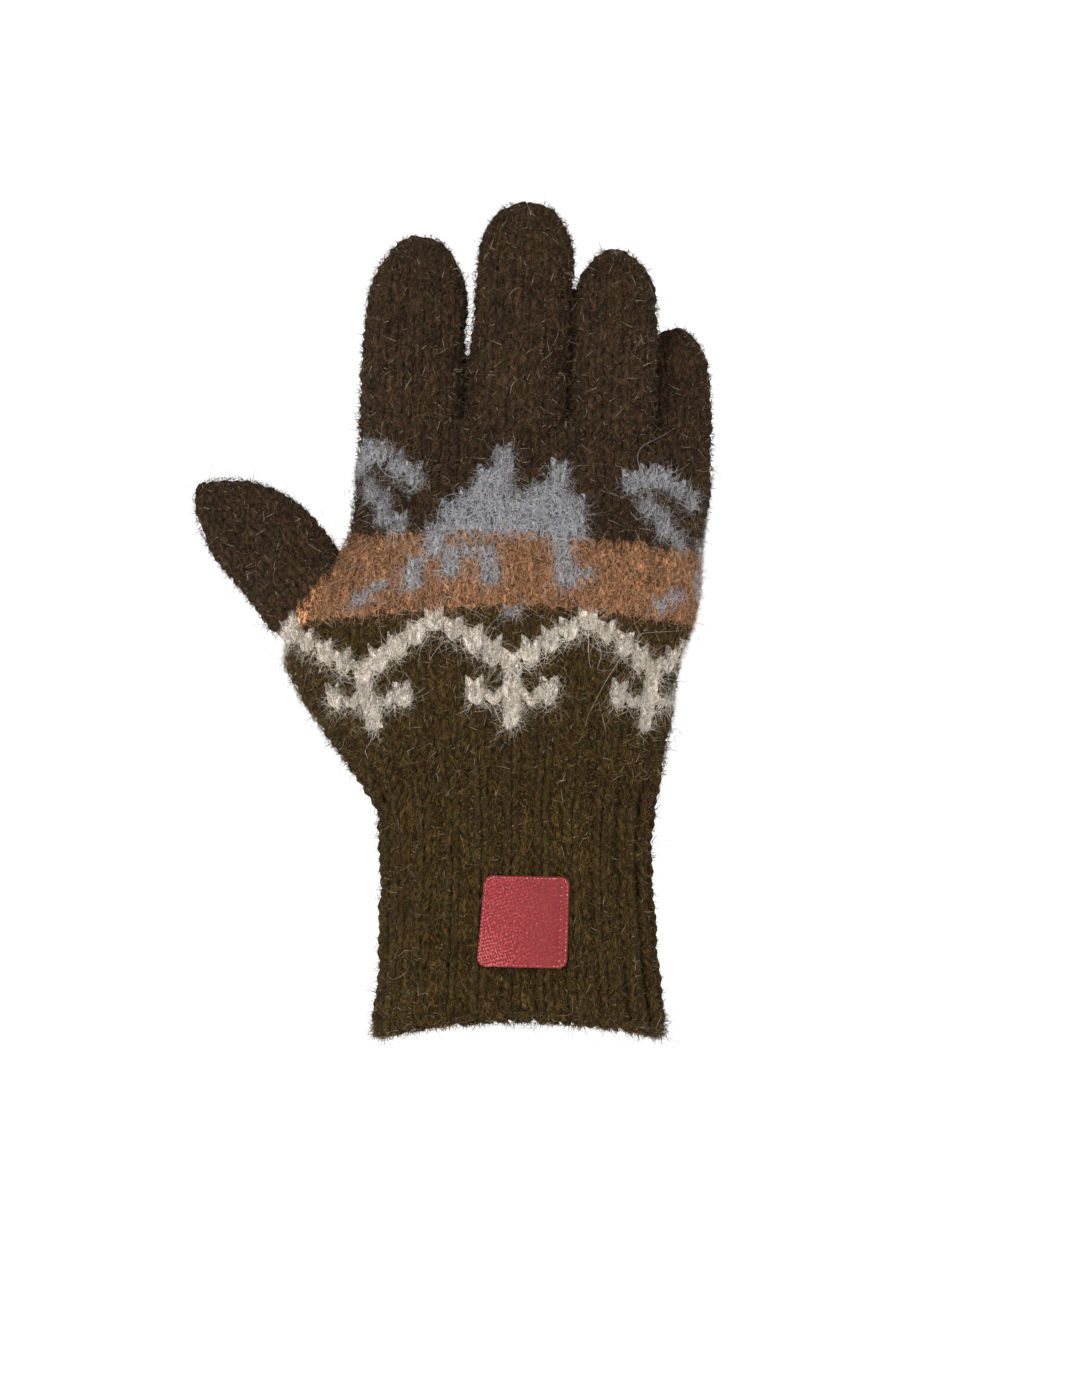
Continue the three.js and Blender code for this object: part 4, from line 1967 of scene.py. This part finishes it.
@dataclass
class Digit:
    """A finger or the thumb.

    Args:
        name: its node in the solid model.
        foot: a point in the middle of its lower end, in millimetres.
        columns: stitches round it.
        below: how far its knitting starts below the lower end, inside the hand.
        seed: start of its unevenness.
    """

    name: str
    foot: tuple[float, float, float]
    columns: int
    below: float
    seed: int

    REACH = 60 * MM
    RING_POINTS = 72
    RINGS = 34
    # How much closer together the rings are towards the tip, and where the last one is.
    CLOSENESS = 1.8
    LAST = 0.9965
    # Where a digit's first whole ring is looked for, in how many directions, and how wide it is.
    START_STEP = 0.5
    START_BELOW = 3.0
    START_STEPS = 60
    START_SPOKES = 24
    START_RADIUS = 7.5 * MM
    START_INSET = 0.4 * MM

    def surface(self) -> TubeSurface:
        """Reads the outer surface from inside the hand to the tip.

        Returns:
            The digit's surface.
        """
        tree = BVHTree.FromPolygons(*solid_faces(self.name))
        foot = Vector(self.foot) * MM
        points = np.array([vertex.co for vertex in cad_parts[self.name].data.vertices])
        away = points - np.array(foot)
        tip = Vector(points[np.linalg.norm(away, axis=1).argmax()])
        axis = (tip - foot).normalized()
        across = Vector((0, 1, 0)).cross(axis).normalized()
        deep = axis.cross(across)
        length = (tip - foot).length
        inside = self._start(tree, foot, axis, across, deep)
        share = (1 - (1 - np.linspace(0, 1, self.RINGS)) ** self.CLOSENESS) * self.LAST
        stations = inside + (length - inside) * share
        centres = [foot + axis * station for station in stations]
        rings = [cast_ring(tree, c, across, deep, self.REACH, self.RING_POINTS) for c in centres]
        drift = (rings[1].mean(axis=0) - rings[0].mean(axis=0)) / (stations[1] - stations[0])
        lower = [rings[0] - drift * step for step in np.linspace(self.below, 1.5 * MM, 6)]
        return TubeSurface(lower + rings)

    def _start(self, tree: BVHTree, foot: Vector, axis: Vector, across: Vector, deep: Vector) -> float:
        """Finds the lowest whole ring.

        Args:
            tree: the digit's faces.
            foot: a point in the middle of its lower end.
            axis: the direction to its tip.
            across: the direction to the right, seen from the front.
            deep: the direction away from the front.

        Returns:
            The way along from the foot at which the whole ring first lies on the solid.
        """
        for step in range(self.START_STEPS):
            way = (step * self.START_STEP - self.START_BELOW) * MM
            centre = foot + axis * way
            hits = []
            for out in spokes(across, deep, self.START_SPOKES):
                hit = tree.ray_cast(centre + out * self.REACH, -out, self.REACH)[0]
                hits.append(hit is not None and (hit - centre).dot(out) > self.START_RADIUS)
            if all(hits):
                return way + self.START_INSET
        raise ValueError(f"{self.name} has no whole ring")

    def knitting(self, surface: TubeSurface) -> Knitting:
        """Knits the digit in one colour and closes its tip.

        Args:
            surface: its outer surface.

        Returns:
            Its knitting.
        """
        return Knitting(
            self.name, "finger_wool", surface, self.columns, CHART_ROW, 0.0, surface.height,
            yarn=finger_yarn, tip=True, seed=self.seed,
        )


DIGITS = (
    Digit("index_finger", (-30.4, 1.4, 175.6), 16, 9 * MM, 11),
    Digit("middle_finger", (-1.2, -0.2, 174.2), 16, 8 * MM, 12),
    Digit("ring_finger", (25.4, 0.5, 172.6), 14, 8 * MM, 13),
    Digit("little_finger", (43.8, 12.6, 171.8), 12, 8 * MM, 14),
    Digit("thumb", (-58.6, 4.2, 122.2), 16, 4 * MM, 15),
)


@dataclass
class InnerFace:
    """The inner side of the knitting and the ground behind the stitches: one continuous wall.

    Args:
        voxel: size of the cells it is made from, wide enough to close the gaps of the solids.
        thinner: how far each face moves in.
        keep: the share of its faces that stays.
        shade: how light it is, against a stitch's 0 to 1; kept low as painted shade on the ground behind
            the stitches.
    """

    voxel: float = 0.7 * MM
    thinner: float = 1.15 * MM
    keep: float = 0.08
    shade: float = 0.1

    NODES = ("cuff", "hand", "index_finger", "middle_finger", "ring_finger", "little_finger", "thumb")

    def build(self, knits: Sequence[Knitting], finish: bpy.types.Material) -> bpy.types.Object:
        """Makes the wall from all the solids of the knit.

        Args:
            knits: the tubes' knitting.
            finish: the material.

        Returns:
            The wall, coloured like the stitches in front of it and darkened as painted shade.
        """
        mesh = bpy.data.meshes.new("inner_face")
        points, faces = solid_faces(*self.NODES)
        mesh.from_pydata(points, [], faces)
        carrier = linked("inner_face_carrier", mesh)
        for kind, settings in (
            ("REMESH", {"mode": "VOXEL", "voxel_size": self.voxel}),
            ("SMOOTH", {"factor": 0.5, "iterations": 3}),
            ("DISPLACE", {"strength": -self.thinner, "mid_level": 0.0}),
            ("DECIMATE", {"ratio": self.keep}),
        ):
            modifier = carrier.modifiers.new(kind, kind)
            for name, value in settings.items():
                setattr(modifier, name, value)
        wall = settled(carrier, "inner_face")
        wall.materials.clear()
        wall.materials.append(finish)
        wall.shade_smooth()
        self._colour(wall, knits)
        return linked("inner_face", wall)

    def _colour(self, wall: bpy.types.Mesh, knits: Sequence[Knitting]) -> None:
        """Gives each corner of the wall the yarn of the nearest stitch.

        Args:
            wall: the wall.
            knits: the tubes' knitting.
        """
        spots, dyes = [], []
        for knit in knits:
            for row, _ in knit.rows():
                part = knit.turn(np.arange(knit.columns), knit.columns, row)
                places = knit.surface.places(part, knit.way(part, row + 0.5))
                spots.extend(places.point)
                dyes.extend(DYES[knit.yarn_of(c, knit.columns, row)] for c in range(knit.columns))
        finder = KDTree(len(spots))
        for k, spot in enumerate(spots):
            finder.insert(spot, k)
        finder.balance()
        near = [dyes[finder.find(v.co)[1]] for v in wall.vertices]
        base, fleck = [d.base for d in near], [d.fleck for d in near]
        # Every corner gets the wall's low shade: painted shade behind the stitches.
        store(wall, dye=base, fleck=fleck, shade=[self.shade] * len(near))


@dataclass
class Hem:
    """The cast-on edge: a cord of slanting loops round the wrist, and purl loops inside it.

    Args:
        loops: loops round the edge.
        inner_rows: rows of purl loops inside the opening.
        columns: purl loops round the inside.
        wall: thickness of the knitting at the hem.
    """

    loops: int = 60
    inner_rows: int = 7
    columns: int = 48
    wall: float = 3.9 * MM

    # Depth and height in millimetres and lean of each round of the cord.
    CORD = ((0.8, 1.28, 1.5), (2.3, 1.2, 0.9), (3.6, 1.28, 1.6))
    # Height of the lowest inner row, and from one to the next, in millimetres.
    INNER_START = 3.2
    INNER_ROW = 2.9
    # How far inside the wall the inner loops' middles are.
    INNER_DEPTH = 0.9 * MM

    def cloud(self, surface: TubeSurface) -> StitchCloud:
        """Makes the loops of the edge and of the inner side.

        Args:
            surface: the cuff's outer surface.

        Returns:
            The loops, as half stitches.
        """
        random = np.random.default_rng(3)
        cloud = StitchCloud()
        part = (np.arange(self.loops) + random.normal(0, 0.08, self.loops)) / self.loops
        for depth, lean, way in self.CORD:
            places = surface.places(part, np.full(self.loops, way * MM))
            shade = np.clip(random.normal(0.5, 0.2, self.loops), 0, 1)
            wide = np.full(self.loops, 0.95)
            size = np.stack([wide, random.normal(0.78, 0.06, self.loops), wide], axis=1)
            leans = lean + random.normal(0, 0.12, self.loops)
            deep = np.full(self.loops, depth * MM)
            cloud.add(places, leans, size, deep, [Yarn.DARK] * self.loops, shade)
        count = self.columns
        for row in range(self.inner_rows):
            part = (np.arange(count) + 0.5 * (row % 2)) / count
            way = (self.INNER_START + row * self.INNER_ROW) * MM
            places = surface.places(part, np.full(count, way))
            inner = Places(places.point, -places.across, places.up, -places.normal, places.girth)
            size = np.tile([0.85, 0.72, 0.8], (count, 1))
            lean = math.pi / 2 + random.normal(0, 0.2, count)
            shade = np.clip(random.normal(0.45, 0.2, count), 0, 1)
            depth = np.full(count, self.INNER_DEPTH - self.wall)
            cloud.add(inner, lean, size, depth, [Yarn.DARK] * count, shade)
        return cloud


@dataclass
class Label:
    """The woven label on the back of the cuff, with its turned edges and seam.

    Args:
        centre: its middle, right and up.
        width: size across.
        height: size up.
        corner: radius of its corners.
        thickness: of the folded ribbon.
        stand: how far its back stands off the cuff's broad surface.
        pulled: how far the seam has pulled each corner, right and up, from the lower left
            one anticlockwise.
        cells: faces along each side.
        edge_inset: from the edge to the stitches that hold it.
        fold_inset: from the right edge to the line where the ribbon is folded back.
        edge_stitches: stitches round the edge.
        fold_stitches: stitches along the fold.
        push: how far the rim stands out halfway between front and back.
        swell: how far the cloth swells, and how far from the edge it starts and ends to.
    """

    centre: tuple[float, float] = (0.7 * MM, 32.7 * MM)
    width: float = 24.9 * MM
    height: float = 25.2 * MM
    corner: float = 2.2 * MM
    thickness: float = 0.6 * MM
    stand: float = 0.7 * MM
    pulled: tuple[tuple[float, float], ...] = ((-0.25, 0.3), (-0.6, -0.3), (0.15, -0.7), (1.9, -0.2))
    cells: int = 56
    edge_inset: float = 0.32 * MM
    fold_inset: float = 2.1 * MM
    edge_stitches: int = 88
    fold_stitches: int = 13
    push: float = 0.25 * MM
    swell: tuple[float, float, float] = (0.45 * MM, 0.5 * MM, 5.0 * MM)

    CUFF_HALF_WIDTH = 38.2 * MM
    CUFF_MIDDLE = -1.0 * MM
    CUFF_ROUNDNESS = 2.35
    IN_FRONT = -100 * MM
    # How deep and how wide the edge's stitches and those of the fold draw the cloth in.
    EDGE_GROOVE = (0.15 * MM, 0.4 * MM)
    FOLD_GROOVE = (0.28 * MM, 0.45 * MM)
    RIPPLE = 0.10 * MM
    # The first and last stitch of the fold, as parts of the half height.
    FOLD_SPAN = (-0.84, 0.9)
    STEP = 0.2 * MM
    # The corners in the order of pulled: right or left, up or down.
    CORNERS = ((-1, -1), (1, -1), (1, 1), (-1, 1))

    def __post_init__(self) -> None:
        """Keeps the cuff's faces for the label to lie on."""
        self.tree = BVHTree.FromPolygons(*solid_faces("cuff"))

    def _place(self, across: np.ndarray, up: np.ndarray, stand: np.ndarray) -> np.ndarray:
        """Lays points over the cuff.

        Args:
            across: the way to the right from the label's middle.
            up: the way up from it.
            stand: how far each point stands off the cuff.

        Returns:
            The points.
        """
        a, b = 2 * across / self.width, 2 * up / self.height
        x, z = self.centre[0] + across, self.centre[1] + up
        for (right, rise), (i, j) in zip(self.pulled, self.CORNERS):
            share = (1 + i * a) * (1 + j * b) / 4
            x = x + right * MM * share
            z = z + rise * MM * share
        found = np.empty((len(x), 3))
        for k in range(len(x)):
            edge = abs(x[k] - self.CUFF_MIDDLE) / self.CUFF_HALF_WIDTH
            start = Vector((self.CUFF_MIDDLE, self.IN_FRONT, z[k]))
            hit = self.tree.ray_cast(start, Vector((0, 1, 0)))[0]
            front = hit.y * (1 - edge**self.CUFF_ROUNDNESS) ** (1 / self.CUFF_ROUNDNESS)
            found[k] = (x[k], front - stand[k], z[k])
        return found

    def _stand(self, across: np.ndarray, up: np.ndarray) -> np.ndarray:
        """How far the cloth stands off: it sinks at its seams and swells between them.

        Args:
            across: the way to the right from the label's middle.
            up: the way up from it.

        Returns:
            The distance of its front from the cuff at each point.
        """
        most, start, end = self.swell
        side = np.minimum(self.width / 2 - np.abs(across), self.height / 2 - np.abs(up))
        swell = smooth_step(start, end, side) * most
        seam = self._groove(side - self.edge_inset, *self.EDGE_GROOVE)
        fold = self._groove(self.width / 2 - across - self.fold_inset, *self.FOLD_GROOVE)
        ripple = self.RIPPLE * np.sin(across * 620 + 1.3 + up * 260) * np.sin(up * 540 + 0.4)
        return self.stand + self.thickness + swell - seam - fold + ripple

    @staticmethod
    def _groove(away: np.ndarray, depth: float, width: float) -> np.ndarray:
        """A soft groove, by how far away its middle is."""
        return np.exp(-((away / width) ** 2)) * depth

    def cloth(self, finish: bpy.types.Material) -> bpy.types.Object:
        """Makes the folded ribbon.

        Args:
            finish: the material.

        Returns:
            One closed piece with round edges.
        """
        n = self.cells
        steps = np.linspace(-1, 1, n + 1)
        grid_a, grid_b = np.meshgrid(steps, steps)
        a, b = grid_a.ravel(), grid_b.ravel()
        across, up = self._rounded(a, b)
        top = self._place(across, up, self._stand(across, up))
        low = self._place(across, up, np.full(len(across), self.stand))
        ring = self._rim(n)
        rim_across = across + np.where(np.abs(a) == 1, a * self.push, 0)
        rim_up = up + np.where(np.abs(b) == 1, b * self.push, 0)
        middle = self._place(rim_across, rim_up, np.full(len(a), self.stand + self.thickness / 2))
        points = np.concatenate([top, low, middle[ring]])
        flat = np.stack([a / 2 + 0.5, b / 2 + 0.5], axis=1)
        flats = np.concatenate([flat, flat, flat[ring]])
        total = (n + 1) ** 2
        index = np.arange(total).reshape(n + 1, n + 1)
        quads = np.stack([index[:-1, :-1], index[:-1, 1:], index[1:, 1:], index[1:, :-1]], -1)
        quads = quads.reshape(-1, 4)
        faces = quads.tolist() + (quads[:, ::-1] + total).tolist()
        for k, here in enumerate(ring):
            there = ring[(k + 1) % len(ring)]
            mid, next_mid = 2 * total + k, 2 * total + (k + 1) % len(ring)
            faces.append([here, mid, next_mid, there])
            faces.append([mid, here + total, there + total, next_mid])
        mesh = bpy.data.meshes.new("label_cloth")
        mesh.from_pydata(points.tolist(), [], faces)
        layer = mesh.uv_layers.new(name="UVMap")
        corners = np.empty(len(mesh.loops), int)
        mesh.loops.foreach_get("vertex_index", corners)
        layer.data.foreach_set("uv", flats[corners].ravel())
        mesh.materials.append(finish)
        mesh.shade_smooth()
        return linked("label_cloth", mesh)

    def _rounded(self, a: np.ndarray, b: np.ndarray) -> tuple[np.ndarray, np.ndarray]:
        """Rounds the corners of a square grid.

        Args:
            a: places from left to right, from -1 to 1.
            b: places from bottom to top, from -1 to 1.

        Returns:
            The ways across and up from the label's middle.
        """
        across, up = a * self.width / 2, b * self.height / 2
        dx = np.maximum(np.abs(across) - (self.width / 2 - self.corner), 0)
        dz = np.maximum(np.abs(up) - (self.height / 2 - self.corner), 0)
        slant = np.maximum(np.hypot(dx, dz), TINY)
        scale = np.where(np.minimum(dx, dz) > 0, np.maximum(dx, dz) / slant, 1.0)
        across = np.sign(across) * (np.abs(across) - dx + dx * scale)
        up = np.sign(up) * (np.abs(up) - dz + dz * scale)
        return across, up

    @staticmethod
    def _rim(n: int) -> list[int]:
        """Finds the rim of a grid.

        Args:
            n: cells along each side.

        Returns:
            The numbers of its points, anticlockwise from the lower left.
        """
        bottom = list(range(n))
        right = [k * (n + 1) + n for k in range(n)]
        top = [n * (n + 1) + n - k for k in range(n)]
        left = [(n - k) * (n + 1) for k in range(n)]
        return bottom + right + top + left

    def seam(self) -> StitchCloud:
        """Sews the label on.

        Returns:
            The stitches round the edge, and those across the fold at the right.
        """
        random = np.random.default_rng(9)
        count = self.edge_stitches
        way = (np.arange(count) + random.normal(0, 0.12, count)) / count * 8
        side, t = np.mod(way, 8) // 2, np.mod(way, 2) - 1
        a = np.select([side == 0, side == 1, side == 2], [t, 1.0, -t], -1.0)
        b = np.select([side == 0, side == 1, side == 2], [-1.0, t, 1.0], -t)
        inner = 1 - 2 * self.edge_inset / self.width
        across, up = self._rounded(a, b)
        across, up = across * inner, up * inner
        angle = side * math.pi / 2 + random.normal(0, 0.22, count)
        rises = np.linspace(*self.FOLD_SPAN, self.fold_stitches) * self.height / 2
        rises = rises + random.normal(0, 0.25 * MM, len(rises))
        fold = np.full(len(rises), self.width / 2 - self.fold_inset)
        across = np.concatenate([across, fold])
        up = np.concatenate([up, rises])
        angle = np.concatenate([angle, random.normal(0.1, 0.35, len(rises))])
        stand = self._stand(across, up) + 0.02 * MM
        point = self._place(across, up, stand)
        right = unit(self._place(across + self.STEP, up, stand) - point)
        normal = unit(np.cross(right, self._place(across, up + self.STEP, stand) - point))
        places = Places(point, right, np.cross(normal, right), normal, np.ones(len(point)))
        total = len(point)
        length = random.uniform(0.07, 0.15, total)
        size = np.stack([np.full(total, 0.085), length, np.full(total, 0.12)], axis=1)
        # Most stitches lean to the thread's painted shade, a few to its lit colour.
        shade = random.uniform(0.0, 1.0, total) ** 1.5
        cloud = StitchCloud()
        cloud.add(places, angle - math.pi / 2, size, np.zeros(total), [Yarn.CREAM] * total, shade)
        return cloud


@dataclass
class Studio:
    """The pale floor, soft lights and camera.

    Args:
        scale: millimetres of the glove for one pixel of the picture.
        frame_size: the picture's width and height in pixels.
        origin_pixel: where the glove's origin is in the picture.
        distance: from the camera to the glove.
        floor: height of the floor.
        floor_glow: how strongly the floor shines by itself.
        sky: strength of the light from all round.
    """

    scale: float = 0.28
    frame_size: tuple[int, int] = (1068, 1380)
    origin_pixel: tuple[float, float] = (521.0, 1035.0)
    distance: float = 2.4
    floor: float = -0.16
    floor_glow: float = 0.52
    sky: float = 0.42

    # The floor from front to back, its curve up into the wall, the wall's top and half its width.
    FRONT_END = -4.0
    CURVE_START = 2.7
    CURVE_RADIUS = 0.5
    CURVE_STEPS = 12
    WALL_TOP = 3.0
    HALF_WIDTH = 3.6
    PALE = (0.93, 0.93, 0.93, 1.0)
    WHITE = (1.0, 1.0, 1.0, 1.0)
    # Name, place, size and power of each light, and where they aim.
    LIGHTS = (("key", (-0.45, -1.2, 0.75), 0.7, 13.0), ("fill", (1.0, -1.0, 0.3), 0.9, 4.0))
    AIM = (0.0, 0.0, 0.11)
    SENSOR = 24.0
    FAR = 20.0
    # The glove's outline lies about at this depth, so that plane is at the full scale.
    OUTLINE_Y = 3 * MM

    def build(self) -> None:
        """Makes the scene round the glove."""
        self._sweep()
        self._lights()
        self._camera()
        world = bpy.data.worlds.new("studio")
        world.use_nodes = True
        world.node_tree.nodes["Background"].inputs["Color"].default_value = self.WHITE
        world.node_tree.nodes["Background"].inputs["Strength"].default_value = self.sky
        scene = bpy.context.scene
        scene.world = world
        scene.view_settings.view_transform = "Standard"
        scene.view_settings.look = "None"

    def _sweep(self) -> None:
        """A pale floor whose far end curves up into a wall."""
        points, faces = [], []
        profile = [(self.FRONT_END, 0.0), (self.CURVE_START, 0.0)]
        for step in range(1, self.CURVE_STEPS + 1):
            angle = step / self.CURVE_STEPS * math.pi / 2
            y = self.CURVE_START + self.CURVE_RADIUS * math.sin(angle)
            profile.append((y, self.CURVE_RADIUS * (1 - math.cos(angle))))
        profile.append((self.CURVE_START + self.CURVE_RADIUS, self.WALL_TOP))
        half = self.HALF_WIDTH
        for y, z in profile:
            points.extend([(-half, y, self.floor + z), (half, y, self.floor + z)])
        for k in range(len(profile) - 1):
            faces.append((2 * k, 2 * k + 1, 2 * k + 3, 2 * k + 2))
        mesh = bpy.data.meshes.new("floor")
        mesh.from_pydata(points, [], faces)
        mesh.shade_smooth()
        material = bpy.data.materials.new("pale floor")
        material.use_nodes = True
        surface = material.node_tree.nodes["Principled BSDF"]
        for socket, value in (
            ("Base Color", self.PALE),
            ("Roughness", 0.9),
            ("Emission Color", self.WHITE),
            ("Emission Strength", self.floor_glow),
        ):
            surface.inputs[socket].default_value = value
        mesh.materials.append(material)
        linked("floor", mesh)

    def _lights(self) -> None:
        """A large soft key light from the upper left, a weaker one from the right."""
        for name, place, size, power in self.LIGHTS:
            light = bpy.data.lights.new(name, "AREA")
            light.shape = "DISK"
            light.size = size
            light.energy = power
            aim = Vector(self.AIM) - Vector(place)
            turn = aim.to_track_quat("-Z", "Y").to_matrix().to_4x4()
            linked(name, light).matrix_world = Matrix.Translation(place) @ turn

    def _camera(self) -> None:
        """A long lens, level with the middle of the picture, square to the back of the hand."""
        width, height = self.frame_size
        x = (width / 2 - self.origin_pixel[0]) * self.scale * MM
        z = (self.origin_pixel[1] - height / 2) * self.scale * MM
        camera = bpy.data.cameras.new("camera")
        camera.sensor_fit = "VERTICAL"
        camera.sensor_height = self.SENSOR
        camera.lens = self.SENSOR * self.distance / (height * self.scale * MM)
        camera.clip_end = self.FAR
        holder = linked("camera", camera)
        holder.location = (x, self.OUTLINE_Y - self.distance, z)
        holder.rotation_euler = (math.pi / 2, 0.0, 0.0)
        bpy.context.scene.camera = holder


def main() -> None:
    """Builds the glove and the studio."""
    logging.basicConfig(level=logging.INFO, format="%(name)s %(message)s")
    wool = WoolFinish("wool strand").make()
    ground = WoolFinish("wool ground", around_strand=False, streaks=0.5, sheen=0.05).make()
    fibre = FibreFinish("loose wool fibre").make()
    strand = StrandShape().build()
    knit_tree = KnitTree(strand, wool)

    hand = Hand()
    hand_surface = hand.surface()
    cuff_knit, hand_knit = hand.knitting(hand_surface)
    digits = []
    for digit in DIGITS:
        knit = digit.knitting(digit.surface())
        knit.others = [hand_surface]
        digits.append(knit)
    hand_knit.others = [knit.surface for knit in digits]
    knits = [cuff_knit, hand_knit, *digits]

    for knit in knits:
        piece = knit_tree.lay(f"{knit.name}_knit", knit.cloud())
        finish_piece(piece, knit.slot, knit.name)
    finish_piece(knit_tree.lay("hem_edge", Hem().cloud(hand_surface)), "cuff_wool")
    finish_piece(InnerFace().build(knits, ground), "cuff_wool")
    for knit in knits:
        for layer in LAYERS:
            skin = FuzzSkin().build(knit)
            finish_piece(layer.grow(f"{knit.name}_{layer.name}", skin, fibre), knit.slot)

    label = Label()
    finish_piece(label.cloth(SatinWeaveFinish("red satin weave").make()), "label_weave", "cuff_label")
    thread = SewingThreadFinish("label sewing thread").make()
    finish_piece(KnitTree(strand, thread, 0.0).lay("label_seam", label.seam()), "label_weave")
    Studio().build()
    bpy.data.objects.remove(strand)


if __name__ == "__main__":
    main()
